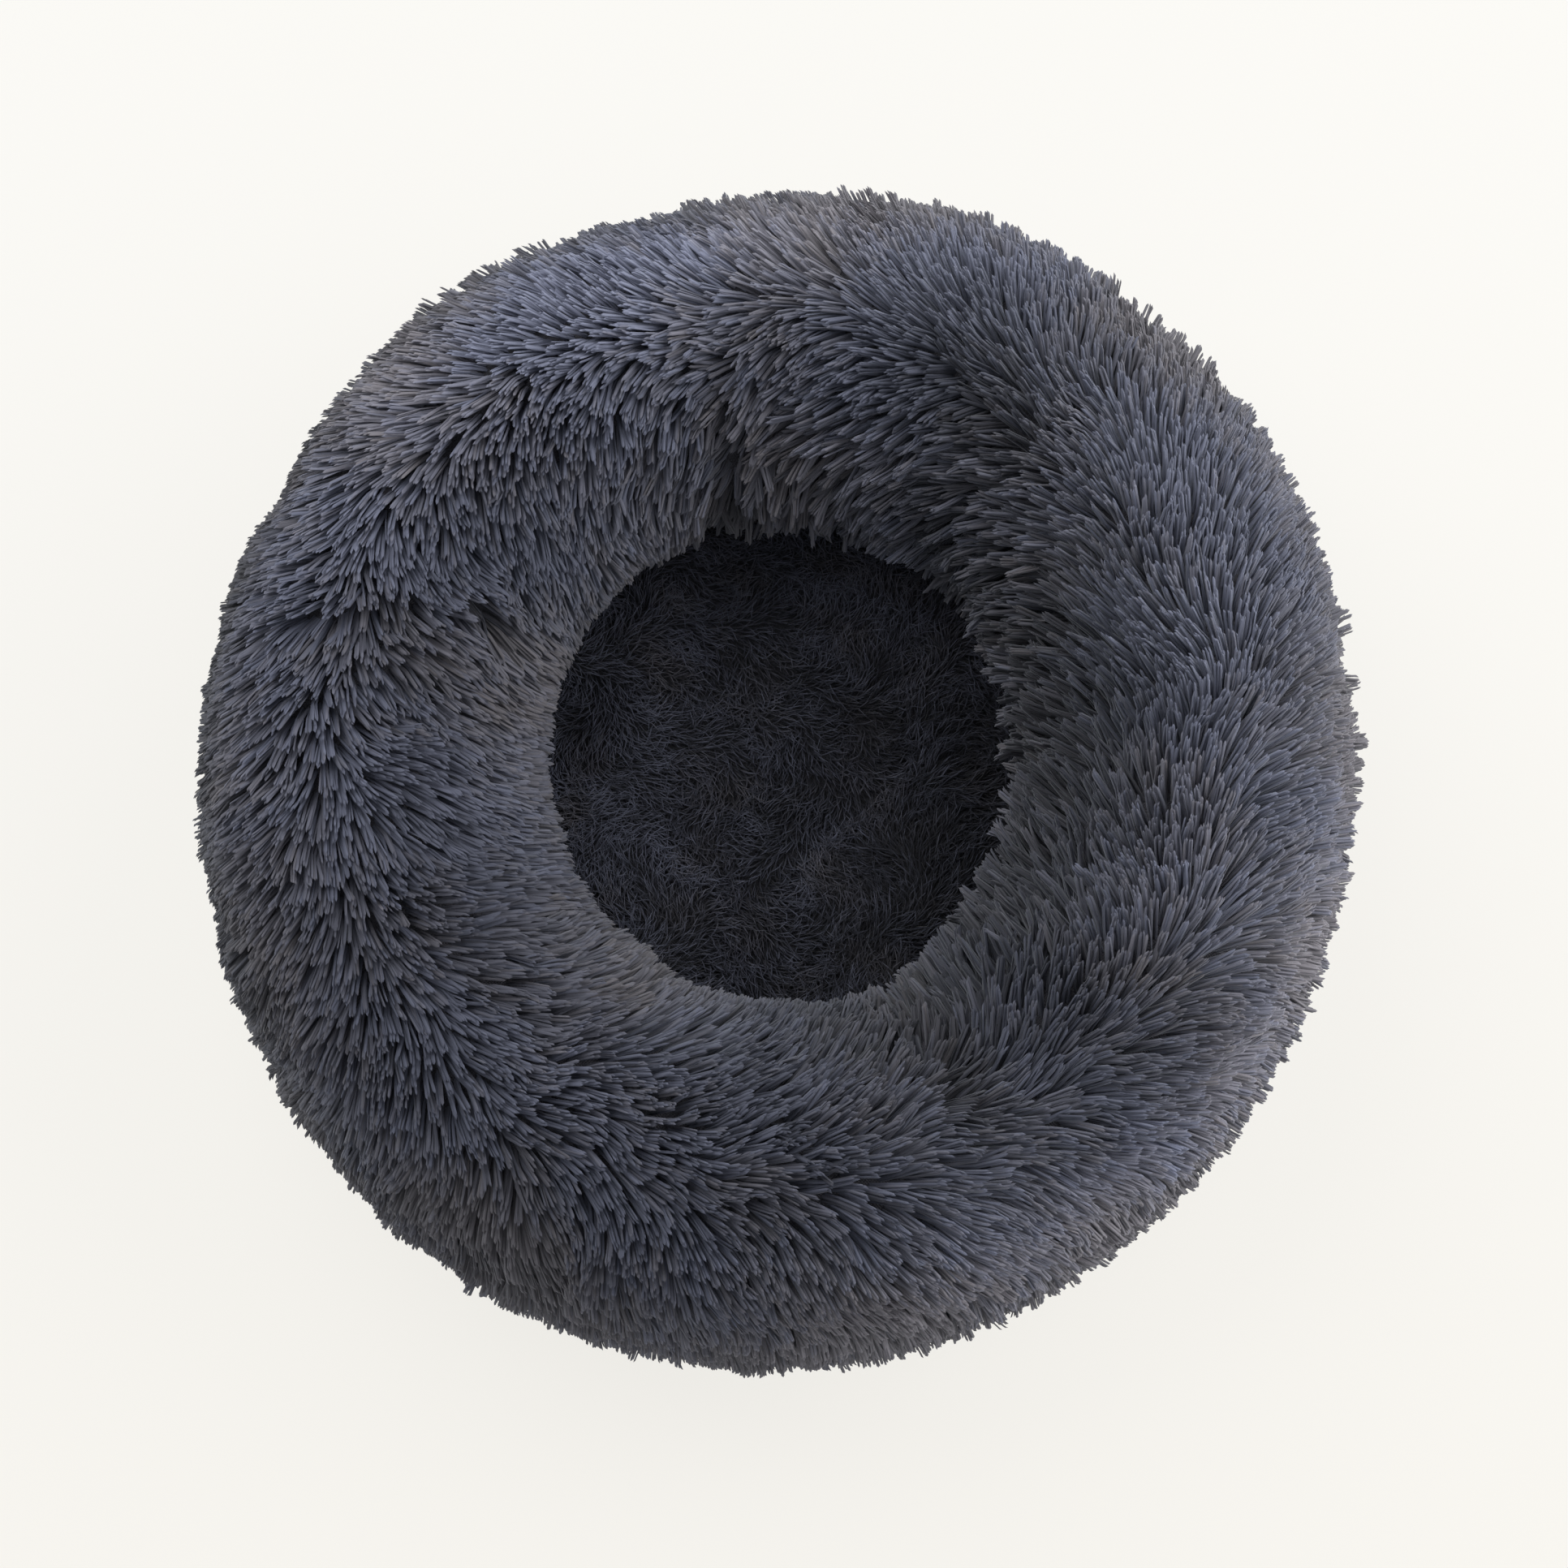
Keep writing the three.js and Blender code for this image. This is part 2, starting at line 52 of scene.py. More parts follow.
# The skin that the pile grows from: how deep its roots lie, where the foot fades in and is turned in
ROOT_DEPTH_SHARE = 0.68
FOOT_FADE = 16 * MM
FOOT_INNER_RADIUS = 252 * MM
FOOT_TURNED_IN = 1.6 * MM
NEST_TOP_FROM = 57 * MM
NEST_RIM = 0.143
PLUSH_EDGE = 0.142
NEST_DISH = 4.5 * MM

# The locks and tufts of the pile
LOCK_SPACING = 4.0 * MM
LOCK_WIDTH = 3.9 * MM
LOCK_CROWN = 0.6 * MM
STRAND_WIDTH = 1.8 * MM
SHAG_LENGTH = 24
SHAG_SECTORS = 10
PILE_CLEARANCE = 1.2 * MM
TUFT_SPACING = 1.35 * MM
TUFT_WIDTH = 0.85 * MM

# The bags of filling
BAG_FOOT_RADIUS = 257 * MM
CUSHION_MIDDLE = 26 * MM

# The slot in the base cloth that shows the zip, the grip dots and the stitches
SLOT_HALF = 138 * MM
SLOT_HALF_WIDTH = 9 * MM
RAMP_RUN = 28 * MM
SEAM_RUN = 28 * MM
RAMP_LIFT = 5 * MM
GRIP_HEIGHT = 0.8 * MM
GRIP_PITCH = 48 * MM
GRIP_KEEP_OUT = 41 * MM
LARGE_DOT = 8 * MM
SMALL_DOT = 3.2 * MM
STITCH_PITCH = 3.6 * MM
STITCH_SIZE = [2.9 * MM, 0.62 * MM, 0.5 * MM]


# Sums on shader values


class Wire:
    """A socket of a finish, so that sums on shader values read as plain sums."""

    def __init__(self, finish, socket):
        self.finish = finish
        self.socket = socket

    def math(self, operation, *values):
        return self.finish.node("ShaderNodeMath", {"operation": operation}, dict(enumerate(values)))

    def __add__(self, other):
        return self.math("ADD", self, other)

    def __sub__(self, other):
        return self.math("SUBTRACT", self, other)

    def __rsub__(self, other):
        return self.math("SUBTRACT", other, self)

    def __mul__(self, other):
        return self.math("MULTIPLY", self, other)

    def sine(self):
        return self.math("SINE", self)

    def size(self):
        return self.math("ABSOLUTE", self)

    def whole(self):
        return self.math("FLOOR", self)

    def over(self, other):
        return self.math("GREATER_THAN", self, other)

    def least(self, other):
        return self.math("MINIMUM", self, other)

    def most(self, other):
        return self.math("MAXIMUM", self, other)


class Finish:
    """A material whose nodes are added in code."""

    def __init__(self, name):
        self.material = bpy.data.materials.new(name)
        self.material.use_nodes = True
        self.tree = self.material.node_tree
        self.tree.nodes.clear()

    def node(self, kind, settings=None, inputs=None, output=0):
        made = self.tree.nodes.new(kind)
        for key, value in (settings or {}).items():
            if key == "stops":
                stops = made.color_ramp.elements
                while len(stops) < len(value):
                    stops.new(1)
                for stop, (place, colour) in zip(stops, value):
                    stop.position = place
                    stop.color = (*colour, 1)
            else:
                setattr(made, key, value)
        for key, value in (inputs or {}).items():
            if isinstance(value, Wire):
                self.tree.links.new(value.socket, made.inputs[key])
            else:
                made.inputs[key].default_value = value
        return Wire(self, made.outputs[output])

    def places(self):
        return self.node("ShaderNodeTexCoord", output="Object")

    def parts(self, vector):
        whole = self.node("ShaderNodeSeparateXYZ", None, {0: vector})
        outputs = whole.socket.node.outputs
        return [Wire(self, outputs[i]) for i in range(3)]

    def noise(self, vector, scale, detail=2.0, rough=0.5):
        sockets = {"Vector": vector, "Scale": scale, "Detail": detail, "Roughness": rough}
        return self.node("ShaderNodeTexNoise", None, sockets)

    def ramp(self, share, stops):
        return self.node("ShaderNodeValToRGB", {"stops": stops}, {0: share})

    def blend(self, share, one, other):
        one, other = [x if isinstance(x, Wire) else (*x, 1) for x in (one, other)]
        return self.node("ShaderNodeMix", {"data_type": "RGBA"}, {0: share, 6: one, 7: other}, 2)

    def times(self, colour, share):
        return self.node("ShaderNodeVectorMath", {"operation": "SCALE"}, {0: colour, "Scale": share})

    def bump(self, height, depth):
        return self.node("ShaderNodeBump", None, {"Height": height, "Distance": depth, "Strength": 1.0})

    def done(self, colour, roughness, normal=None, **constants):
        sockets = {"Base Color": colour, "Roughness": roughness}
        if normal:
            sockets["Normal"] = normal
        sockets.update({key.replace("_", " "): value for key, value in constants.items()})
        surface = self.node("ShaderNodeBsdfPrincipled", None, sockets)
        self.node_out(surface)
        return self.material

    def node_out(self, surface):
        out = self.tree.nodes.new("ShaderNodeOutputMaterial")
        self.tree.links.new(surface.socket, out.inputs["Surface"])


# Stage, light and camera


SEEN_RAYS = ("Is Camera Ray", "Is Glossy Ray", "Is Transmission Ray")


def pale_floor():
    bpy.ops.mesh.primitive_plane_add(size=9)
    floor = bpy.context.object
    floor.name = "floor"
    finish = Finish("pale_floor")
    _, y, _ = finish.parts(finish.places())
    colour = finish.ramp(y * 1.1 + 0.62, [(0, (0.905, 0.886, 0.84)), (1, (0.9, 0.89, 0.858))])
    plain = finish.node("ShaderNodeBsdfDiffuse", None, {"Color": colour})
    shown = finish.node("ShaderNodeEmission", None, {"Color": colour, "Strength": 1.0})
    rays = [finish.node("ShaderNodeLightPath", output=kind) for kind in SEEN_RAYS]
    share = (rays[0] + rays[1] + rays[2]).least(1) * 0.9
    finish.node_out(finish.node("ShaderNodeMixShader", None, {0: share, 1: plain, 2: shown}))
    floor.data.materials.append(finish.material)


def lamp(name, place, size, power, colour):
    data = bpy.data.lights.new(name, "AREA")
    data.shape = "DISK"
    data.size = size
    data.energy = power
    data.color = colour
    holder = bpy.data.objects.new(name, data)
    holder.location = place
    holder.rotation_euler = Vector(place).to_track_quat("Z", "Y").to_euler()
    bpy.context.scene.collection.objects.link(holder)


def light():
    world = bpy.data.worlds.new("soft_room")
    bpy.context.scene.world = world
    world.use_nodes = True
    tree = world.node_tree
    sky = tree.nodes["Background"]
    sky.inputs["Color"].default_value = (0.97, 0.985, 1, 1)
    way = tree.nodes.new("ShaderNodeTexCoord")
    parts = tree.nodes.new("ShaderNodeSeparateXYZ")
    level = tree.nodes.new("ShaderNodeMapRange")
    tree.links.new(way.outputs["Generated"], parts.inputs[0])
    tree.links.new(parts.outputs[2], level.inputs["Value"])
    level.inputs["To Min"].default_value = 0.68
    level.inputs["To Max"].default_value = 0.42
    tree.links.new(level.outputs[0], sky.inputs["Strength"])
    path = tree.nodes.new("ShaderNodeLightPath")
    wall = tree.nodes.new("ShaderNodeBackground")
    wall.inputs["Color"].default_value = (0.94, 0.93, 0.9, 1)
    either = tree.nodes.new("ShaderNodeMixShader")
    tree.links.new(path.outputs["Is Camera Ray"], either.inputs[0])
    tree.links.new(sky.outputs[0], either.inputs[1])
    tree.links.new(wall.outputs[0], either.inputs[2])
    tree.links.new(either.outputs[0], tree.nodes["World Output"].inputs["Surface"])
    lamp("right_window", (3.1, 0.25, 1.05), 3.6, 102, (1, 0.985, 0.96))
    lamp("far_right_window", (2.4, 1.7, 1.5), 3.6, 94, (1, 0.985, 0.96))
    lamp("far_left_window", (-1.55, 1.9, 2.2), 3.6, 120, (1, 0.99, 0.97))


CAMERA_HEIGHT = math.radians(80)
CAMERA_AIM = Vector((0.0034, -0.009, 0.092))
CAMERA_AWAY = Vector((0, -math.cos(CAMERA_HEIGHT), math.sin(CAMERA_HEIGHT)))
CAMERA_UP = np.array([0, math.sin(CAMERA_HEIGHT), math.cos(CAMERA_HEIGHT)])
CAMERA_DISTANCE, CAMERA_LENS, CAMERA_SENSOR, FRAME = 1.875, 85, 36, 1932


def camera():
    data = bpy.data.cameras.new("camera")
    data.lens = CAMERA_LENS
    data.sensor_width = CAMERA_SENSOR
    holder = bpy.data.objects.new("camera", data)
    holder.location = CAMERA_AIM + CAMERA_AWAY * CAMERA_DISTANCE
    holder.rotation_euler = CAMERA_AWAY.to_track_quat("Z", "Y").to_euler()
    bpy.context.scene.collection.objects.link(holder)
    bpy.context.scene.camera = holder
    bpy.context.scene.view_settings.view_transform = "Standard"


def seen_at(points):
    """Where points of the bed come out in the photograph's frame, in its pixels."""
    away = points - np.array(CAMERA_AIM + CAMERA_AWAY * CAMERA_DISTANCE)
    depth = -(away @ np.array(CAMERA_AWAY))
    scale = FRAME * CAMERA_LENS / CAMERA_SENSOR / depth
    return np.column_stack([FRAME / 2 + away[:, 0] * scale, FRAME / 2 - away @ CAMERA_UP * scale])


# Helpers for the pieces


def deselect():
    bpy.ops.object.select_all(action="DESELECT")


def only(piece):
    deselect()
    piece.select_set(True)
    bpy.context.view_layer.objects.active = piece


def mode(name):
    bpy.ops.object.mode_set(mode=name)


def pick_all():
    bpy.ops.mesh.select_all(action="SELECT")


def apply_modifier(piece, kind, **settings):
    only(piece)
    modifier = piece.modifiers.new(kind.lower(), kind)
    for key, value in settings.items():
        setattr(modifier, key, value)
    bpy.ops.object.modifier_apply(modifier=modifier.name)


def fresh_copy(node, name):
    """A CAD node's form as a new piece, its loose triangles merged."""
    source = bmesh.new()
    source.from_mesh(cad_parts[node].data)
    bmesh.ops.remove_doubles(source, verts=source.verts, dist=1e-6)
    mesh = bpy.data.meshes.new(name)
    faces = [[v.index for v in face.verts] for face in source.faces]
    mesh.from_pydata([v.co[:] for v in source.verts], [], faces)
    source.free()
    piece = bpy.data.objects.new(name, mesh)
    bpy.context.scene.collection.objects.link(piece)
    return piece


def points_of(mesh):
    flat = np.zeros(len(mesh.vertices) * 3)
    mesh.vertices.foreach_get("co", flat)
    return flat.reshape(-1, 3)


def move_points(mesh, points):
    mesh.vertices.foreach_set("co", points.ravel())
    mesh.update()


def as_form(piece):
    """A modelled piece as points and triangles; the piece itself is taken away."""
    piece.data.transform(piece.matrix_world)
    points = points_of(piece.data)
    faces = np.array([p.vertices[:] for p in piece.data.polygons])
    bpy.data.objects.remove(piece)
    return points, faces


def smooth(share):
    share = np.clip(share, 0, 1)
    return share * share * (3 - 2 * share)


def unit(vectors):
    return vectors / np.maximum(np.linalg.norm(vectors, axis=-1, keepdims=True), 1e-12)


def hump(values, middle, reach):
    return np.exp(-(((values - middle) / reach) ** 2))


class Ripples:
    """Smooth unevenness of a given wavelength, the same on each run."""

    def __init__(self, wavelength, seed, count=18):
        dice = np.random.default_rng(seed)
        self.waves = unit(dice.normal(size=(count, 3))) * 2 * math.pi / wavelength
        self.waves *= dice.uniform(0.6, 1.4, (count, 1))
        self.starts = dice.uniform(0, 2 * math.pi, count)

    def at(self, points):
        return np.cos(points @ self.waves.T + self.starts).mean(1) * math.sqrt(2 * len(self.starts)) / 1.4


def tube_middle(points):
    """The nearest place on the tube's middle line."""
    return unit(points * (1, 1, 0)) * TUBE_RADIUS + (0, 0, TUBE_HEIGHT)


def round_the_tube(points):
    """Degrees round the bed, and degrees round the tube from its outermost line over the crest."""
    radius = np.hypot(points[:, 0], points[:, 1])
    turn = np.degrees(np.arctan2(points[:, 1], points[:, 0])) % 360
    climb = np.degrees(np.arctan2(points[:, 2] - TUBE_HEIGHT, radius - TUBE_RADIUS))
    return turn, np.where(climb < -90, climb + 360, climb)


# The knitted backings that the pile grows from


KNIT_WAVES = 4200  # radians a metre


def knit(name, colour):
    finish = Finish(name)
    x, y, z = [(part * KNIT_WAVES).sine() for part in finish.parts(finish.places())]
    loops = x * y + z * 0.5
    worn = finish.noise(finish.places(), 60.0)
    shade = finish.blend(worn, [c * 0.7 for c in colour], colour)
    return finish.done(shade, 0.95, finish.bump(loops, 0.0002), Specular_IOR_Level=0.2)


# Where the skin is drawn round the bed at a gather, and its reach, in degrees
GATHER_TURN, GATHER_REACH, GATHER_SLIDE = 99, 22, -5.5

# A crease to smooth, in pixels of the photograph
CREASE_SPOT, CREASE_REACH = (1130, 1290), 95


def ring_backing():
    """The cover's skin: its pile side sunk to where the locks are rooted."""
    skin = fresh_copy("bolster_cover", "ring_backing")
    mesh = skin.data
    points = points_of(mesh)
    normals = np.array([v.normal[:] for v in mesh.vertices])
    outer = ((points - tube_middle(points)) * normals).sum(1) > 0
    inner_faces = [f.vertices[:] for f in mesh.polygons if not outer[list(f.vertices)].any()]
    backing = BVHTree.FromPolygons([Vector(p) for p in points], inner_faces)
    depth = np.array([backing.find_nearest(Vector(p))[3] for p in points])
    above_foot = smooth((points[:, 2] - 1 * MM) / FOOT_FADE)
    sunk = np.where(outer, depth * ROOT_DEPTH_SHARE * above_foot, 0)
    mesh.attributes.new("sunk", "FLOAT", "POINT").data.foreach_set("value", sunk)
    turn, climb = round_the_tube(points)
    slide = np.radians(GATHER_SLIDE) * hump(turn, GATHER_TURN, GATHER_REACH)
    slide = slide * smooth((climb - 70) / 40) * smooth((235 - climb) / 30)
    points -= normals * sunk[:, None]
    slid = np.column_stack([
        points[:, 0] * np.cos(slide) - points[:, 1] * np.sin(slide),
        points[:, 0] * np.sin(slide) + points[:, 1] * np.cos(slide), points[:, 2]])
    move_points(mesh, slid)
    near_crease = np.hypot(*(seen_at(slid) - CREASE_SPOT).T) < CREASE_REACH
    creased = outer & near_crease & (slid[:, 2] > 100 * MM)
    mesh.polygons.foreach_set("select", np.zeros(len(mesh.polygons), bool))
    mesh.edges.foreach_set("select", np.zeros(len(mesh.edges), bool))
    mesh.vertices.foreach_set("select", creased)
    only(skin)
    mode("EDIT")
    bpy.ops.mesh.vertices_smooth(factor=0.5, repeat=14)
    pick_all()
    bpy.ops.mesh.tris_convert_to_quads(face_threshold=0.9, shape_threshold=0.9)
    mode("OBJECT")
    apply_modifier(skin, "SUBSURF", levels=2, render_levels=2)
    points = points_of(mesh)
    out = np.hypot(points[:, 0], points[:, 1])
    turned_in = FOOT_TURNED_IN * smooth((FOOT_INNER_RADIUS - out) / (5 * MM))
    turned_in = turned_in * smooth((7 * MM - points[:, 2]) / (3 * MM))
    move_points(mesh, points - unit(points * (1, 1, 0)) * turned_in[:, None])
    bpy.ops.object.shade_smooth()
    mesh.materials.append(knit("knitted_backing", (0.05, 0.05, 0.061)))
    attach(skin, "bed")
    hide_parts("bolster_cover")
    return skin


def nest_backing():
    skin = fresh_copy("nest_floor_cover", "nest_backing")
    only(skin)
    mode("EDIT")
    pick_all()
    bpy.ops.mesh.subdivide(number_cuts=3)
    mode("OBJECT")
    mesh = skin.data
    points = points_of(mesh)
    out = np.hypot(points[:, 0], points[:, 1])
    top = points[:, 2] > NEST_TOP_FROM
    sag = Ripples(0.075, 5).at(points) * 1.6 * MM + Ripples(0.03, 6).at(points) * 0.5 * MM
    points[:, 2] += np.where(top, (sag - NEST_DISH) * smooth((NEST_RIM - out) / 0.03), 0)
    move_points(mesh, points)
    bpy.ops.object.shade_smooth()
    mesh.materials.append(knit("plush_backing", (0.016, 0.0165, 0.021)))
    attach(skin, "bed")
    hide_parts("nest_floor_cover")
    return skin


# The pile

HUES = 4  # strips of the pile's colour chart, from warm grey to blue grey


def strand_form(belly, heights):
    """One strand as modelled: a slim three-sided cone with a belly, one unit high."""
    deselect()
    bpy.ops.mesh.primitive_cone_add(vertices=3, radius1=0.5, radius2=0, depth=1, location=(0, 0, 0.5))
    strand = bpy.context.object
    mode("EDIT")
    for height in heights:
        pick_all()
        bpy.ops.mesh.bisect(plane_co=(0, 0, height), plane_no=(0, 0, 1))
    pick_all()
    bpy.ops.mesh.quads_convert_to_tris()
    bpy.ops.mesh.normals_make_consistent(inside=False)
    mode("OBJECT")
    points, faces = as_form(strand)
    up = points[:, 2]
    widest = np.interp(up, [0, *heights, 1], [belly[0], *belly[1:], 0])
    across = points[:, :2] / np.maximum(np.hypot(points[:, 0], points[:, 1]), 1e-9)[:, None]
    return np.column_stack([across * widest[:, None] / 2, up]), faces


def roots_on(skin, spacing, seed, keep, weigh):
    """Evenly spaced root points on a skin: place, normal and the depth that the skin was sunk by."""
    mesh = skin.data
    mesh.calc_loop_triangles()
    tris = np.zeros(len(mesh.loop_triangles) * 3, int)
    mesh.loop_triangles.foreach_get("vertices", tris)
    tris = tris.reshape(-1, 3)
    points = points_of(mesh)
    normals = np.zeros(len(mesh.vertices) * 3)
    mesh.vertices.foreach_get("normal", normals)
    normals = normals.reshape(-1, 3)
    sunk = np.zeros(len(mesh.vertices))
    if "sunk" in mesh.attributes:
        mesh.attributes["sunk"].data.foreach_get("value", sunk)
    a, b, c = (points[tris[:, i]] for i in range(3))
    cross = np.cross(b - a, c - a)
    middles = (a + b + c) / 3
    area = np.linalg.norm(cross, axis=1) / 2 * keep(middles, unit(cross)) * weigh(middles)
    steps = np.cumsum(area)
    count = int(steps[-1] / spacing**2 * 5)
    dice = np.random.default_rng(seed)
    picks = dice.uniform(0, steps[-1], count)
    face = np.searchsorted(steps, picks)
    one, two = dice.uniform(0, 1, (2, count))
    fold = one + two > 1
    one, two = np.where(fold, 1 - one, one), np.where(fold, 1 - two, two)
    share = np.column_stack([1 - one - two, one, two])[:, :, None]
    corners = tris[face]
    place = (points[corners] * share).sum(1)
    gaps = spacing / np.sqrt(weigh(place))
    near = KDTree(count)
    for k, point in enumerate(place):
        near.insert(point, k)
    near.balance()
    free = np.ones(count, bool)
    kept = []
    for k in range(count):
        if free[k]:
            kept.append(k)
            for _, other, _ in near.find_range(place[k], gaps[k]):
                free[other] = False
    corners, share = corners[kept], share[kept]
    normal = unit((normals[corners] * share).sum(1))
    return place[kept], normal, (sunk[corners] * share[:, :, 0]).sum(1)


class Locks:
    """Arrays, one row a lock: where it is rooted and how it lies."""

    def __init__(self, place, normal, along, length, rise, curl, tone, hug, hue, solid, drawn):
        self.place = place
        self.normal = normal
        self.along = along
        self.length = length
        self.rise = rise
        self.curl = curl
        # tone: paler or darker locks, partly at random and partly painted light and shade in broad areas
        self.tone = tone
        self.hug = hug  # how strongly the surface bends away along the lock, per metre
        self.hue = hue  # 0 warm grey to 1 blue grey
        self.solid = solid  # 0 takes the light as the skin does, 1 as a row of solid rods
        self.drawn = drawn  # the lock's width at its tip, as a share of that at its root

    def some(self, mine):
        return Locks(*[values[mine] for values in vars(self).values()])


def grow(locks, strands, form, faces, seed, lock_width, crown, width, rest):
    """Strands of all locks, side by side across the lock, its middle higher.

    Gives their points, faces, places in the colour chart and the way that each point faces. A strand
    is a tuft of fine fibres, which takes the light more evenly than a solid rod, so it faces partly
    the way that the skin does."""
    dice = np.random.default_rng(seed)
    pick = np.repeat(np.arange(len(locks.place)), strands)
    count = len(pick)
    starts = np.cumsum(strands) - strands
    spot = (np.arange(count) - starts[pick] + 0.5) / strands[pick] * 2 - 1
    spot += dice.normal(0, 0.16, count)
    breadth = (lock_width / 2 * dice.uniform(0.7, 1.3, len(locks.place)))[pick]
    drawn = (locks.drawn * dice.uniform(0.82, 1.18, len(locks.place)))[pick]
    layer = dice.normal(0, crown * 0.45, count)
    normal = locks.normal[pick]
    along = locks.along[pick]
    aside = unit(np.cross(along, normal))
    length = locks.length[pick] * dice.uniform(0.93, 1.04, count)
    rise = np.minimum(locks.rise[pick] * dice.uniform(0.95, 1.05, count), length * 0.85)
    curl = locks.curl[pick] + dice.normal(0, 0.05, count)
    hug = locks.hug[pick]
    solid = locks.solid[pick][:, None]
    wide = width * dice.uniform(0.75, 1.25, count)
    reach = np.sqrt(np.maximum(length**2 - rise**2, 0)) * 0.97
    slip = dice.normal(0, 0.6 * MM, count)
    roll = -spot * 0.7 + dice.normal(0, 0.25, count)
    tone = np.clip(locks.tone[pick] + dice.normal(0, 0.035, count), 0, 1)
    hue = np.clip(np.floor(locks.hue[pick] * HUES + dice.uniform(-0.5, 0.5, count)), 0, HUES - 1)

    def middle(share):
        run = reach * share + slip
        lift = rise * (1 - (1 - share) ** 1.2) - hug * run**2 / 2
        lift += (crown * (1 - spot**2) + layer) * min(1, share * 2.5)
        turned = along * np.cos(curl * share)[:, None] + aside * np.sin(curl * share)[:, None]
        spread = aside * (spot * breadth * (1 - (1 - drawn) * share**2))[:, None]
        return locks.place[pick] + normal * lift[:, None] + turned * run[:, None] + spread

    points = np.zeros((count, len(form), 3))
    facing = np.zeros((count, len(form), 3))
    heights = np.unique(form[:, 2].round(6))
    for height in heights:
        here = middle(height)
        ahead = unit(middle(min(height + 0.05, 1.02)) - middle(max(height - 0.05, 0)))
        side = unit(np.cross(ahead, normal))
        back = np.cross(side, ahead)
        for k in np.flatnonzero(np.abs(form[:, 2] - height) < 1e-5):
            x, y = form[k, 0], -form[k, 1] * 0.6
            flat = side * (x * np.cos(roll) - y * np.sin(roll))[:, None]
            across = (flat + back * (x * np.sin(roll) + y * np.cos(roll))[:, None]) * wide[:, None]
            points[:, k] = here + across
            facing[:, k] = unit(unit(across) * solid + normal * (1 - solid) + ahead * 0.1)
    points = rest(points)
    strip = 0.004
    uv = np.empty((count, len(form), 2))
    uv[:, :, 0] = ((hue + 0.04 + 0.92 * tone) / HUES)[:, None] + form[None, :, 0] * strip
    uv[:, :, 1] = 0.01 + 0.98 * form[None, :, 2]
    index = faces[None] + (np.arange(count) * len(form))[:, None, None]
    return points.reshape(-1, 3), index.reshape(-1, 3), uv.reshape(-1, 2), facing.reshape(-1, 3)


def pile_piece(name, points, faces, uv, facing, material, slot):
    mesh = bpy.data.meshes.new(name)
    mesh.vertices.add(len(points))
    mesh.vertices.foreach_set("co", points.ravel())
    mesh.loops.add(faces.size)
    mesh.loops.foreach_set("vertex_index", faces.ravel().astype(np.int32))
    mesh.polygons.add(len(faces))
    mesh.polygons.foreach_set("loop_start", np.arange(len(faces), dtype=np.int32) * 3)
    mesh.polygons.foreach_set("use_smooth", np.ones(len(faces), bool))
    layer = mesh.uv_layers.new(name="OFBake")
    layer.uv.foreach_set("vector", uv[faces.ravel()].ravel().astype(np.float32))
    mesh.update(calc_edges=True)
    mesh.normals_split_custom_set_from_vertices(facing)
    mesh.materials.append(material)
    piece = bpy.data.objects.new(name, mesh)
    bpy.context.scene.collection.objects.link(piece)
    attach(piece, "bed")
    return piece


def over_areas(areas, turn, climb):
    """What broad areas add up to at places on the tube: each fades out over its reach."""
    total = np.zeros(len(turn))
    for turn_middle, turn_reach, climb_middle, climb_reach, change in areas:
        off = (turn - turn_middle + 180) % 360 - 180
        total += change * hump(off, 0, turn_reach) * hump(climb, climb_middle, climb_reach)
    return total


# How the shag lies, in degrees from anticlockwise round the bed, outward positive, at degrees round
# the tube: up the outer wall, over the crest and down the inner wall.
LIE_CLIMBS = [-90, 5, 35, 65, 90, 115, 145, 185, 270]
SHAG_LIE = [75, 75, 45, 30, -10, -40, -60, -85, -85]

# Broad areas where the shag is turned aside: degrees round the bed and their reach, degrees round
# the tube and their reach, and how many degrees further out the locks point.
SWIRLS = [
    (15, 30, 130, 30, 30),
    (155, 45, 105, 30, -30),
    (260, 30, 110, 35, 30),
    (300, 20, 140, 25, -15),
    (340, 35, 40, 30, 20),
    (90, 60, 50, 25, -15),
]


def shag_lie(turn, climb):
    return np.interp(climb, LIE_CLIMBS, SHAG_LIE) + over_areas(SWIRLS, turn, climb)


# Where the pile parts, in pixels of the photograph: a line's ends, how far its pull reaches, how
# strongly the locks lean away from it, and how deep it dips.
PARTINGS = [
    (570, 737, 592, 754, 25, 0.6, 1.0),
    (1150, 1338, 1160, 1364, 44, 0.9, 0.5),
    (1108, 1225, 1146, 1325, 32, 0.4, 0.3),
    (1165, 640, 1222, 722, 30, 0.7, 0.7),
    (1180, 452, 1280, 560, 48, 0.4, 0.4),
    (903, 452, 912, 565, 26, 0.4, 0.75),
    (902, 575, 896, 655, 44, 0.35, 1.0),
    (940, 1405, 996, 1448, 24, -0.8, 0.3),
]


def off_line(spots, ends):
    """How far seen spots lie from the line between two ends, across and down, and the line's run."""
    x0, y0, x1, y1 = ends
    start, run = np.array([x0, y0]), np.array([x1 - x0, y1 - y0])
    share = np.clip((spots - start) @ run / (run @ run), 0, 1)
    return spots - start - share[:, None] * run, run


def faces_camera(normal):
    return normal @ np.array(CAMERA_AWAY) > 0.1


def along_skin(headings, normal):
    """Headings laid down on the skin."""
    return unit(headings - normal * (headings * normal).sum(1)[:, None])


